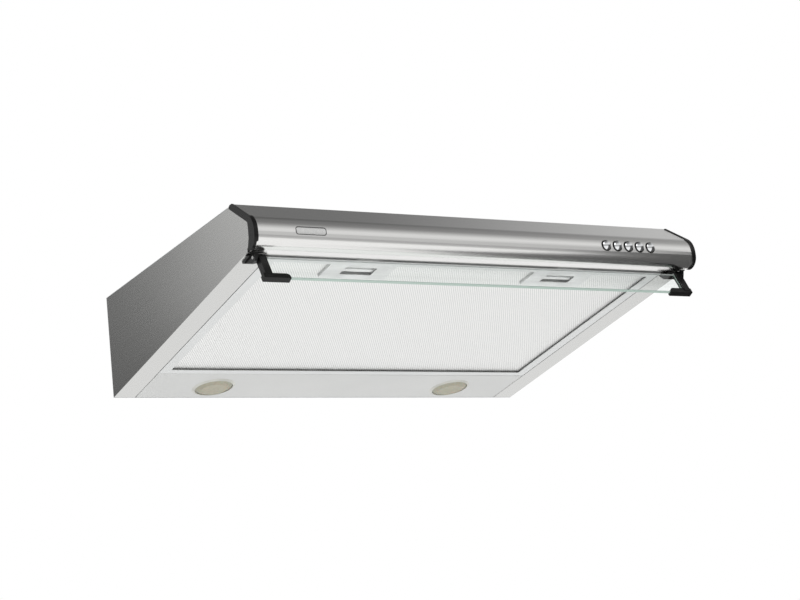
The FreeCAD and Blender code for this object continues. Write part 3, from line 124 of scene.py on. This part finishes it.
# Pane of the visor: its pivot and tilt, and how far below the pivot the pane starts and ends
PIVOT_Y = -416.555 * MM
PIVOT_Z = -3.69 * MM
PANE_TILT = math.radians(28.3)
PANE_TOP = 0.6 * MM
PANE_BOTTOM = 30.3 * MM
PANE_THICKNESS = 4.0 * MM
PANE_SEAM = 0.5 * MM
PANE_SEAM_STEPS = 2
PANE_SEAM_PROFILE = 0.5

# Cosines above which a facet belongs to a face of the pane, or to its top
PANE_FACE = 0.99
PANE_UPPER = 0.3
PANE_FACE_SLOT = 0
PANE_EDGE_SLOT = 1
PANE_LIT_TOP_SLOT = 2

# Bends up to these angles are shaded smooth
SOLID_SMOOTH_ANGLE = math.radians(25)
BUTTON_SMOOTH_ANGLE = math.radians(40)

# Middle of a noise, where nearly all of its values lie
NOISE_LOW = 0.3
NOISE_HIGH = 0.7

# Stretch of a pattern along X, Y and Z
EVEN = (1.0, 1.0, 1.0)
GRAIN_ALONG_X = (6.0, 1500.0, 1500.0)
GRAIN_ALONG_Y = (1500.0, 6.0, 1500.0)
GRAIN_ALONG_Z = (1500.0, 1500.0, 6.0)

# Expanded metal: pitch of the diamonds, the painted shade of its holes, and where a strand begins and
# is full
MESH_PITCH_X = 3.0 * MM
MESH_PITCH_Y = 4.6 * MM
MESH_HOLE_SHADE = (0.50, 0.51, 0.50)
STRAND_START = 0.18
STRAND_FULL = 0.34
LATTICE_FOLD = 0.5

# Sockets of the Mix node when it mixes colours
MIX_FACTOR = 0
MIX_FIRST = 6
MIX_SECOND = 7
MIX_RESULT = 2

# Refraction
PLASTIC_IOR = 1.5
LENS_IOR = 1.49
GLASS_IOR = 1.52

# Base colour of each material, linear
COLOURS = {
    "brushed_front": (0.85, 0.845, 0.83),
    # Darker copy of the front steel for the side panels, which is painted shade
    "brushed_side_shaded": (0.65, 0.65, 0.637),
    "galvanised": (0.62, 0.63, 0.64),
    "lamp_panel_satin": (0.58, 0.585, 0.575),
    "bezel_plastic": (0.52, 0.52, 0.48),
    "lens_frosted": (0.375, 0.343, 0.267),
    "bulb_glass": (0.95, 0.93, 0.86),
    "frame_aluminium": (0.67, 0.68, 0.675),
    "mesh_expanded": (0.86, 0.86, 0.85),
    "core_aluminium": (0.74, 0.75, 0.75),
    "latch_satin": (0.66, 0.665, 0.66),
    "slider_satin": (0.72, 0.725, 0.72),
    "black_plastic": (0.006, 0.006, 0.006),
    "scroll_plastic": (0.075, 0.078, 0.082),
    "drum_plastic": (0.028, 0.028, 0.030),
    "motor_plated": (0.42, 0.43, 0.45),
    "capacitor_white": (0.78, 0.77, 0.73),
    "ground_steel": (0.58, 0.58, 0.58),
    "switch_ivory": (0.70, 0.68, 0.62),
    "chrome_bright": (0.86, 0.87, 0.88),
    "visor_glass": (0.975, 1.0, 0.988),
    "pane_edge": (0.42, 0.52, 0.47),
    # The top edge is the green edge made paler, which is painted light
    "pane_top_lit": (0.66, 0.69, 0.675),
    "plate_nickel": (0.80, 0.80, 0.79),
    "plate_rim": (0.10, 0.10, 0.10),
    "floor_pale": (0.92, 0.92, 0.92),
    "flag_cloth": (0.10, 0.10, 0.10),
}

# Nodes with a finer finish than their slot in the record. The side panels' steel is also a darker copy
# of the front's, which is painted shade.
OWN_FINISH = {
    "left_side_panel": "shaded_side_steel",
    "right_side_panel": "shaded_side_steel",
    "filter_face_mesh": "mesh",
    "filter_back_mesh": "mesh",
    "filter_core": "core",
}


def set_inputs(node, values):
    """Sets constants on a node's own sockets."""
    for name, value in values.items():
        node.inputs[name].default_value = value


def new_material(name, values):
    """A material with one principled shader in its base colour; returns it, its tree and the shader."""
    material = bpy.data.materials.new(name)
    material.use_nodes = True
    tree = material.node_tree
    shader = tree.nodes["Principled BSDF"]
    set_inputs(shader, {"Base Color": (*COLOURS[name], 1.0)})
    set_inputs(shader, values)
    return material, tree, shader


def add_node(tree, kind, values=None, **settings):
    """A new shader node, with constants on its sockets and its own settings."""
    node = tree.nodes.new("ShaderNode" + kind)
    for name, value in settings.items():
        setattr(node, name, value)
    set_inputs(node, values or {})
    return node


def object_place(tree, stretch=EVEN):
    """Object coordinates in metres, multiplied by a stretch for each axis."""
    coordinates = add_node(tree, "TexCoord")
    mapping = add_node(tree, "Mapping", {"Scale": stretch})
    tree.links.new(coordinates.outputs["Object"], mapping.inputs["Vector"])
    return mapping.outputs["Vector"]


def noise(tree, scale, detail=2.0, roughness=0.5, stretch=EVEN):
    """Soft noise over the object, finer at a larger scale."""
    node = add_node(tree, "TexNoise", {"Scale": scale, "Detail": detail, "Roughness": roughness})
    tree.links.new(object_place(tree, stretch), node.inputs["Vector"])
    return node.outputs["Fac"]


def cells(tree, scale):
    """Outputs of a cell pattern: a random colour in each cell, and the distance from its middle."""
    node = add_node(tree, "TexVoronoi", {"Scale": scale})
    tree.links.new(object_place(tree), node.inputs["Vector"])
    return node.outputs


def combined(tree, operation, first, second):
    """The result of a math node on two values."""
    node = add_node(tree, "Math", operation=operation)
    tree.links.new(first, node.inputs[0])
    tree.links.new(second, node.inputs[1])
    return node.outputs["Value"]


def mapped(tree, value, start, end, low, high, easing="LINEAR"):
    """Maps a value from the range start to end to the range low to high."""
    node = add_node(tree, "MapRange", {
        "From Min": start, "From Max": end, "To Min": low, "To Max": high,
    }, interpolation_type=easing)
    tree.links.new(value, node.inputs["Value"])
    return node.outputs["Result"]


def mix_surface(tree, share, first, second, target="Material Output"):
    """Puts two shaders on the surface, the second one by its share."""
    mix = add_node(tree, "MixShader")
    tree.links.new(share, mix.inputs["Fac"])
    tree.links.new(first, mix.inputs[1])
    tree.links.new(second, mix.inputs[2])
    tree.links.new(mix.outputs["Shader"], tree.nodes[target].inputs["Surface"])


def shaded(colour, share):
    """A colour made darker or lighter by a share."""
    return tuple(channel * share for channel in colour)


def tint(tree, shader, value, colour, dark, light):
    """Drives the base colour between two shares of a colour."""
    ramp = add_node(tree, "ValToRGB")
    stops = ramp.color_ramp.elements
    stops[0].position = NOISE_LOW
    stops[1].position = NOISE_HIGH
    stops[0].color = (*shaded(colour, dark), 1.0)
    stops[1].color = (*shaded(colour, light), 1.0)
    tree.links.new(value, ramp.inputs["Fac"])
    tree.links.new(ramp.outputs["Color"], shader.inputs["Base Color"])


def vary_roughness(tree, shader, value, roughness, less, more):
    """Drives the roughness between two shares of a middle one."""
    result = mapped(tree, value, NOISE_LOW, NOISE_HIGH, roughness * less, roughness * more)
    tree.links.new(result, shader.inputs["Roughness"])


def relief(tree, shader, height, strength, depth):
    """Fine bumps from a height between 0 and 1."""
    bump = add_node(tree, "Bump", {"Strength": strength, "Distance": depth})
    tree.links.new(height, bump.inputs["Height"])
    tree.links.new(bump.outputs["Normal"], shader.inputs["Normal"])


def brushed_metal(name, roughness, stretch):
    """Sheet metal with a fine grain along one axis, which changes its tone and roughness slightly."""
    material, tree, shader = new_material(name, {"Metallic": 1.0, "Roughness": roughness})
    grain = noise(tree, scale=1.0, detail=4.0, roughness=0.6, stretch=stretch)
    tint(tree, shader, grain, COLOURS[name], dark=0.975, light=1.02)
    vary_roughness(tree, shader, grain, roughness, less=0.93, more=1.07)
    relief(tree, shader, grain, strength=0.03, depth=0.04 * MM)
    return material


def galvanised_metal(name, roughness):
    """Dull zinc with a soft pattern of crystals."""
    material, tree, shader = new_material(name, {"Metallic": 1.0, "Roughness": roughness})
    crystals = cells(tree, scale=110.0)
    grey = add_node(tree, "RGBToBW")
    tree.links.new(crystals["Color"], grey.inputs["Color"])
    tint(tree, shader, grey.outputs["Val"], COLOURS[name], dark=0.94, light=1.04)
    vary_roughness(tree, shader, grey.outputs["Val"], roughness, less=0.94, more=1.06)
    return material


def moulded_plastic(name, roughness, grain=0.25, gloss=0.5):
    """Moulded plastic with a fine eroded texture and faint change of tone."""
    values = {"Roughness": roughness, "IOR": PLASTIC_IOR, "Specular IOR Level": gloss}
    material, tree, shader = new_material(name, values)
    tint(tree, shader, noise(tree, scale=40.0), COLOURS[name], dark=0.88, light=1.1)
    fine = noise(tree, scale=1800.0, detail=3.0)
    vary_roughness(tree, shader, fine, roughness, less=0.85, more=1.15)
    relief(tree, shader, fine, strength=grain, depth=0.06 * MM)
    return material


def satin_paint(name, metallic, roughness):
    """A satin coat on sheet metal, with a faint orange peel."""
    values = {"Metallic": metallic, "Roughness": roughness, "Coat Weight": 0.15, "Coat Roughness": 0.25}
    material, tree, shader = new_material(name, values)
    tint(tree, shader, noise(tree, scale=9.0), COLOURS[name], dark=0.96, light=1.03)
    peel = noise(tree, scale=420.0)
    vary_roughness(tree, shader, peel, roughness, less=0.9, more=1.1)
    relief(tree, shader, peel, strength=0.06, depth=0.08 * MM)
    return material


def polished_metal(name, roughness):
    """Bright metal with faint wear in its polish."""
    material, tree, shader = new_material(name, {"Metallic": 1.0, "Roughness": roughness})
    wear = noise(tree, scale=260.0, detail=5.0, roughness=0.65)
    tint(tree, shader, wear, COLOURS[name], dark=0.94, light=1.03)
    vary_roughness(tree, shader, wear, roughness, less=0.6, more=1.6)
    return material


def lattice(tree):
    """Height of a diamond lattice of strands in the X, Y plane, from 0 in a hole to 1 on a strand."""
    parts = add_node(tree, "SeparateXYZ")
    place = object_place(tree, (1 / MESH_PITCH_X, 1 / MESH_PITCH_Y, 0.0))
    tree.links.new(place, parts.inputs["Vector"])
    waves = []
    for operation in ("ADD", "SUBTRACT"):
        wave = add_node(tree, "Math", operation="PINGPONG")
        wave.inputs[1].default_value = LATTICE_FOLD
        slanted = combined(tree, operation, parts.outputs["X"], parts.outputs["Y"])
        tree.links.new(slanted, wave.inputs[0])
        waves.append(wave.outputs["Value"])
    nearest = combined(tree, "MAXIMUM", *waves)
    return mapped(tree, nearest, STRAND_START, STRAND_FULL, 0.0, 1.0)


def expanded_metal(name):
    """Rolled metal slit and drawn into diamonds, with bright strands and painted shade in the holes."""
    material, tree, shader = new_material(name, {"Metallic": 0.55, "Roughness": 0.45})
    height = lattice(tree)
    mix = add_node(tree, "Mix", data_type="RGBA")
    # The holes get a dim grey, which is painted shade
    mix.inputs[MIX_FIRST].default_value = (*MESH_HOLE_SHADE, 1.0)
    mix.inputs[MIX_SECOND].default_value = (*COLOURS[name], 1.0)
    tree.links.new(height, mix.inputs[MIX_FACTOR])
    tree.links.new(mix.outputs[MIX_RESULT], shader.inputs["Base Color"])
    relief(tree, shader, height, strength=0.35, depth=0.4 * MM)
    return material


def frosted_lens(name):
    """Warm frosted lens, moulded with a fine pattern of cells."""
    values = {"Roughness": 0.5, "IOR": LENS_IOR, "Subsurface Weight": 0.15}
    material, tree, shader = new_material(name, values)
    pattern = cells(tree, scale=260.0)
    tint(tree, shader, pattern["Distance"], COLOURS[name], dark=0.93, light=1.03)
    relief(tree, shader, pattern["Distance"], strength=0.2, depth=0.4 * MM)
    return material


def clear_glass(name):
    """Float glass, faintly green, that lets shadow rays through."""
    values = {"Roughness": 0.0, "IOR": GLASS_IOR, "Transmission Weight": 1.0}
    material, tree, shader = new_material(name, values)
    tint(tree, shader, noise(tree, scale=5.0), COLOURS[name], dark=0.99, light=1.0)
    clear = add_node(tree, "BsdfTransparent")
    rays = add_node(tree, "LightPath")
    mix_surface(tree, rays.outputs["Is Shadow Ray"], shader.outputs["BSDF"], clear.outputs["BSDF"])
    return material


def ground_glass(name):
    """The seamed edge of a pane, where its green shows."""
    material, tree, shader = new_material(name, {"Roughness": 0.3, "IOR": GLASS_IOR})
    fine = noise(tree, scale=900.0, detail=3.0)
    tint(tree, shader, fine, COLOURS[name], dark=0.9, light=1.08)
    relief(tree, shader, fine, strength=0.15, depth=0.1 * MM)
    return material


def clear_capsule(name):
    """Clear glass of a small lamp, faintly clouded."""
    values = {"Roughness": 0.2, "IOR": PLASTIC_IOR, "Transmission Weight": 0.7}
    material, tree, shader = new_material(name, values)
    tint(tree, shader, noise(tree, scale=300.0), COLOURS[name], dark=0.85, light=1.0)
    return material


def make_materials():
    """One material for each finish, by the name of the record's slot."""
    return {
        "steel": brushed_metal("brushed_front", roughness=0.22, stretch=GRAIN_ALONG_X),
        # Same steel as the front, made darker: painted shade on the side panels
        "shaded_side_steel": brushed_metal("brushed_side_shaded", roughness=0.27, stretch=GRAIN_ALONG_Y),
        "galvanised": galvanised_metal("galvanised", roughness=0.5),
        "lamp_panel": satin_paint("lamp_panel_satin", metallic=0.5, roughness=0.38),
        "bezel": moulded_plastic("bezel_plastic", roughness=0.3, grain=0.05),
        "lens": frosted_lens("lens_frosted"),
        "bulb": clear_capsule("bulb_glass"),
        "aluminium": satin_paint("frame_aluminium", metallic=0.7, roughness=0.40),
        "mesh": expanded_metal("mesh_expanded"),
        "core": brushed_metal("core_aluminium", roughness=0.42, stretch=GRAIN_ALONG_Z),
        "latch": moulded_plastic("latch_satin", roughness=0.42, grain=0.08),
        "slider": moulded_plastic("slider_satin", roughness=0.36, grain=0.08),
        "black_plastic": moulded_plastic("black_plastic", roughness=0.28, grain=0.15, gloss=0.25),
        "scroll": moulded_plastic("scroll_plastic", roughness=0.5),
        "impeller": moulded_plastic("drum_plastic", roughness=0.45),
        "motor": polished_metal("motor_plated", roughness=0.35),
        "capacitor": moulded_plastic("capacitor_white", roughness=0.35, grain=0.05),
        "pin_steel": polished_metal("ground_steel", roughness=0.25),
        "switch": moulded_plastic("switch_ivory", roughness=0.45, grain=0.1),
        "chrome": polished_metal("chrome_bright", roughness=0.05),
        "visor_glass": clear_glass("visor_glass"),
        "pane_edge": ground_glass("pane_edge"),
        # Paler copy of the pane's edge for its top, which is painted light
        "pane_top_lit": ground_glass("pane_top_lit"),
        "plate": polished_metal("plate_nickel", roughness=0.28),
        "plate_rim": polished_metal("plate_rim", roughness=0.35),
    }


def dress_nodes(materials):
    """Gives every solid the material of its slot, or a finer one of its own."""
    for part in frame["record"]["subparts"]:
        name = part["node"]
        material = materials[OWN_FINISH.get(name, part["material_slot"])]
        mesh = frame["nodes"][name].data
        mesh.materials.clear()
        mesh.materials.append(material)


def soften_nodes():
    """Smooth shading on the round faces of the solids."""
    for name in frame["nodes"]:
        mesh = frame["nodes"][name].data
        for face in mesh.polygons:
            face.use_smooth = True
        mesh.set_sharp_from_angle(angle=SOLID_SMOOTH_ANGLE)


def mesh_object(name, build, material, smooth=True):
    """A new object from a function that fills a bmesh."""
    shape = bmesh.new()
    build(shape)
    bmesh.ops.recalc_face_normals(shape, faces=shape.faces)
    mesh = bpy.data.meshes.new(name)
    shape.to_mesh(mesh)
    shape.free()
    for face in mesh.polygons:
        face.use_smooth = smooth
    mesh.materials.append(material)
    piece = bpy.data.objects.new(name, mesh)
    bpy.context.scene.collection.objects.link(piece)
    return piece


def front_point(rise, proud):
    """Y, Z on the curved front, at an arc length above the flat, and standing proud of it."""
    angle = max(rise, 0.0) / ARC_RADIUS
    reach = ARC_RADIUS + proud
    drop = min(rise, 0.0)
    return ARC_CENTRE_Y - reach * math.cos(angle), ARC_CENTRE_Z + reach * math.sin(angle) + drop


def plate_outline(inset):
    """X, rise points round a rectangle with rounded corners."""
    points = []
    half_x = PLATE_WIDTH / 2 - PLATE_CORNER
    half_z = PLATE_HEIGHT / 2 - PLATE_CORNER
    radius = PLATE_CORNER - inset
    for quarter, (sx, sz) in enumerate(((1, 1), (-1, 1), (-1, -1), (1, -1))):
        for step in range(PLATE_STEPS + 1):
            angle = (quarter + step / PLATE_STEPS) * math.pi / 2
            x = sx * half_x + radius * math.cos(angle)
            points.append((x, sz * half_z + radius * math.sin(angle)))
    return points


def plate_builder(levels):
    """Fills a plate from rings, each an inset and a share of its thickness, closed by a last face."""
    def build(shape):
        rings = []
        for inset, share in levels:
            ring = []
            for x, rise in plate_outline(inset):
                y, z = front_point(PLATE_RISE + rise, PLATE_THICKNESS * share)
                ring.append(shape.verts.new((PLATE_X + x, y, z)))
            rings.append(ring)
        for low, high in zip(rings, rings[1:]):
            for i in range(len(low)):
                j = (i + 1) % len(low)
                shape.faces.new((low[i], low[j], high[j], high[i]))
        shape.faces.new(rings[-1])
    return build


def blank_plate(materials):
    """A bare plate with a raised border on the left of the curved front."""
    rim = mesh_object("blank_plate_rim", plate_builder(PLATE_RIM_RINGS), materials["plate_rim"])
    field = mesh_object("blank_plate_field", plate_builder(PLATE_FIELD_RINGS), materials["plate"])
    for piece in (rim, field):
        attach(piece, "root")


def button_profile(front, back, radius):
    """Y, radius points of a domed cap, from the crown's middle to the back."""
    crown = radius - BUTTON_EDGE
    sphere = (crown * crown + BUTTON_DOME * BUTTON_DOME) / (2 * BUTTON_DOME)
    reach = math.asin(crown / sphere)
    points = []
    for step in range(BUTTON_RINGS + 1):
        angle = step / BUTTON_RINGS * reach
        points.append((front + sphere * (1 - math.cos(angle)), sphere * math.sin(angle)))
    points.append((front + BUTTON_DOME + BUTTON_EDGE, radius))
    points.append((back, radius))
    return points


def turned_ring(shape, centre, y, radius):
    """One ring of vertices about the button's axis, or a single one on the axis."""
    if radius == 0:
        return [shape.verts.new((centre.x, y, centre.z))]
    ring = []
    for i in range(BUTTON_STEPS):
        angle = 2 * math.pi * i / BUTTON_STEPS
        x = centre.x + radius * math.cos(angle)
        z = centre.z + radius * math.sin(angle)
        ring.append(shape.verts.new((x, y, z)))
    return ring


def join_rings(shape, inner, outer):
    """Faces between two rings of the button, or round the single vertex of its crown."""
    for i in range(BUTTON_STEPS):
        j = (i + 1) % BUTTON_STEPS
        if len(inner) == 1:
            shape.faces.new((inner[0], outer[i], outer[j]))
        else:
            shape.faces.new((inner[i], outer[i], outer[j], inner[j]))


def button_builder(name):
    """Fills a domed cap turned about its axis, with the square stem behind it."""
    low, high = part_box(name)
    centre = (low + high) / 2
    radius = (high.x - low.x) / 2
    cap_back = low.y + BUTTON_CAP

    def build(shape):
        profile = button_profile(low.y, cap_back, radius)
        rings = [turned_ring(shape, centre, y, r) for y, r in profile]
        for inner, outer in zip(rings, rings[1:]):
            join_rings(shape, inner, outer)
        shape.faces.new(rings[-1])
        stem = Matrix.Translation((centre.x, (cap_back + high.y) / 2, centre.z))
        stem = stem @ Matrix.Diagonal((BUTTON_STEM, high.y - cap_back, BUTTON_STEM, 1.0))
        bmesh.ops.create_cube(shape, size=1.0, matrix=stem)
    return build


def paint_shade_on_button_body(cap, name):
    """Chrome on the crown only, and black on the rest of the button, which is painted shade on its side
    wall.
    """
    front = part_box(name)[0].y
    crown_back = front + BUTTON_DOME + CROWN_MARGIN
    for face in cap.data.polygons:
        furthest = max(cap.data.vertices[index].co.y for index in face.vertices)
        face.material_index = CROWN_SLOT if furthest < crown_back else SHADED_BODY_SLOT


def domed_buttons(materials):
    """Domed buttons with a chromed crown, and a black body that is painted shade, in place of the plain
    ones.
    """
    for index in range(1, BUTTON_COUNT + 1):
        name = "button_" + str(index)
        cap = mesh_object("cap_" + str(index), button_builder(name), materials["chrome"])
        cap.data.set_sharp_from_angle(angle=BUTTON_SMOOTH_ANGLE)
        cap.data.materials.append(materials["black_plastic"])
        paint_shade_on_button_body(cap, name)
        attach(cap, name)
        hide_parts(name)


def pane_builder(shape):
    """Fills a pane with seamed edges, turned to hang as the visor does."""
    low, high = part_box("visor_glass")
    size = (high.x - low.x, PANE_THICKNESS, PANE_BOTTOM - PANE_TOP)
    bmesh.ops.create_cube(shape, size=1.0, matrix=Matrix.Diagonal((*size, 1.0)))
    bmesh.ops.bevel(shape, geom=list(shape.edges), offset=PANE_SEAM, segments=PANE_SEAM_STEPS,
                    profile=PANE_SEAM_PROFILE, affect="EDGES")
    place = Matrix.Translation((0.0, PIVOT_Y, PIVOT_Z)) @ Matrix.Rotation(-PANE_TILT, 4, "X")
    place = place @ Matrix.Translation((0.0, 0.0, -(PANE_TOP + PANE_BOTTOM) / 2))
    bmesh.ops.transform(shape, matrix=place, verts=shape.verts)


def shade_pane(pane):
    """Clear glass on the two faces, a paler edge on top that is painted light, and a green one on the
    other sides.
    """
    face_on = Vector((0.0, -math.cos(PANE_TILT), math.sin(PANE_TILT)))
    upwards = Vector((0.0, math.sin(PANE_TILT), math.cos(PANE_TILT)))
    for face in pane.data.polygons:
        face.material_index = PANE_EDGE_SLOT
        if abs(face.normal.dot(face_on)) > PANE_FACE:
            face.material_index = PANE_FACE_SLOT
        elif face.normal.dot(upwards) > PANE_UPPER:
            face.material_index = PANE_LIT_TOP_SLOT


def visor_pane(materials):
    """The visor's pane, with seamed edges, in place of the plain one."""
    pane = mesh_object("visor_pane", pane_builder, materials["visor_glass"], smooth=False)
    pane.data.materials.append(materials["pane_edge"])
    pane.data.materials.append(materials["pane_top_lit"])
    shade_pane(pane)
    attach(pane, "visor")
    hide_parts("visor_glass")


def glow_share(tree):
    """Share of the floor's own white that a ray meets, which fades to all of it far from the object."""
    rays = add_node(tree, "LightPath")
    distance = add_node(tree, "VectorMath", operation="LENGTH")
    tree.links.new(object_place(tree), distance.inputs[0])
    total = None
    for output, amount in FLOOR_GLOW_SHARES.items():
        fade = (FLOOR_FADE_START, FLOOR_RADIUS, amount, 1.0)
        share = mapped(tree, distance.outputs["Value"], *fade, "SMOOTHSTEP")
        part = combined(tree, "MULTIPLY", rays.outputs[output], share)
        total = combined(tree, "MAXIMUM", total, part) if total else part
    return total


def make_floor():
    """A round pale floor below the hood, which keeps its shadow."""
    material, tree, shader = new_material("floor_pale", {"Roughness": 0.9})
    tint(tree, shader, noise(tree, scale=3.0), COLOURS["floor_pale"], dark=0.99, light=1.0)
    glow = add_node(tree, "Emission", {"Strength": FLOOR_GLOW})
    mix_surface(tree, glow_share(tree), shader.outputs["BSDF"], glow.outputs["Emission"])

    def build(shape):
        place = Matrix.Translation((0.0, 0.0, FLOOR_Z))
        bmesh.ops.create_circle(shape, cap_ends=True, segments=FLOOR_STEPS, radius=FLOOR_RADIUS,
                                matrix=place)

    mesh_object("floor", build, material, smooth=False)


def make_flag():
    """The dark flag, clear to all rays but those that have been reflected."""
    material, tree, shader = new_material("flag_cloth", {"Roughness": 1.0})
    tint(tree, shader, noise(tree, scale=200.0), COLOURS["flag_cloth"], dark=0.9, light=1.1)
    clear = add_node(tree, "BsdfTransparent")
    rays = add_node(tree, "LightPath")
    mix_surface(tree, rays.outputs["Glossy Depth"], clear.outputs["BSDF"], shader.outputs["BSDF"])

    def build(shape):
        corners = [(y, z) for y in FLAG_Y for z in FLAG_Z]
        order = [corners[0], corners[1], corners[3], corners[2]]
        shape.faces.new([shape.verts.new((FLAG_X, y, z)) for y, z in order])

    flag = mesh_object("flag", build, material, smooth=False)
    flag.visible_camera = False
    flag.visible_diffuse = False
    flag.visible_shadow = False


def room_colour(tree, elevation):
    """Grey of the room's bands, from the Z of a direction."""
    ramp = add_node(tree, "ValToRGB")
    stops = ramp.color_ramp.elements
    while len(stops) < len(ROOM_BANDS):
        stops.new(NEW_STOP_PLACE)
    for stop, (angle, strength) in zip(stops, ROOM_BANDS):
        stop.position = (math.sin(math.radians(angle)) + 1) / 2
        stop.color = (strength, strength, strength, 1.0)
    tree.links.new(mapped(tree, elevation, -1.0, 1.0, 0.0, 1.0), ramp.inputs["Fac"])
    return ramp.outputs["Color"]


def make_world():
    """White where it is seen directly or through glass, and otherwise a soft room lit in bands."""
    world = bpy.data.worlds.new("studio")
    bpy.context.scene.world = world
    world.use_nodes = True
    tree = world.node_tree
    coordinates = add_node(tree, "TexCoord")
    parts = add_node(tree, "SeparateXYZ")
    tree.links.new(coordinates.outputs["Generated"], parts.inputs["Vector"])
    back = mapped(tree, parts.outputs["Y"], *ROOM_BACK, "SMOOTHSTEP")
    right = mapped(tree, parts.outputs["X"], *ROOM_RIGHT, "SMOOTHSTEP")
    room = tree.nodes["Background"]
    tree.links.new(combined(tree, "MAXIMUM", back, right), room.inputs["Strength"])
    tree.links.new(room_colour(tree, parts.outputs["Z"]), room.inputs["Color"])
    white = add_node(tree, "Background", {"Color": (1.0, 1.0, 1.0, 1.0), "Strength": 1.0})
    rays = add_node(tree, "LightPath").outputs
    seen = combined(tree, "MAXIMUM", rays["Is Camera Ray"], rays["Is Transmission Ray"])
    mix_surface(tree, seen, room.outputs["Background"], white.outputs["Background"], "World Output")


def softbox(name, place, target, size, radiance):
    """A square area lamp of a given radiance that faces a target."""
    data = bpy.data.lights.new(name, "AREA")
    data.shape = "SQUARE"
    data.size = size
    data.energy = radiance * math.pi * size * size
    lamp = bpy.data.objects.new(name, data)
    lamp.location = place
    lamp.rotation_euler = (Vector(target) - Vector(place)).to_track_quat("-Z", "Y").to_euler()
    lamp.visible_camera = False
    lamp.visible_transmission = False
    bpy.context.scene.collection.objects.link(lamp)
    return lamp


def make_lights():
    """Softboxes round the hood, and a fill from below that metal doesn't mirror."""
    for name, settings in SOFTBOXES.items():
        softbox(name, *settings)
    fill = softbox("fill_softbox", *FILL_SOFTBOX)
    fill.visible_glossy = False


def make_camera():
    """The camera, at the photograph's viewing angle."""
    data = bpy.data.cameras.new("camera")
    data.lens = CAMERA_LENS
    data.sensor_width = CAMERA_SENSOR
    camera = bpy.data.objects.new("camera", data)
    up = -CAMERA_DOWN
    back = CAMERA_RIGHT.cross(up)
    turn = Matrix((CAMERA_RIGHT, up, back)).transposed()
    camera.matrix_world = Matrix.Translation(CAMERA_PLACE) @ turn.to_4x4()
    bpy.context.scene.collection.objects.link(camera)
    bpy.context.scene.camera = camera


materials = make_materials()
dress_nodes(materials)
soften_nodes()
blank_plate(materials)
domed_buttons(materials)
visor_pane(materials)
make_floor()
make_flag()
make_world()
make_lights()
make_camera()
bpy.context.scene.view_settings.view_transform = "Standard"
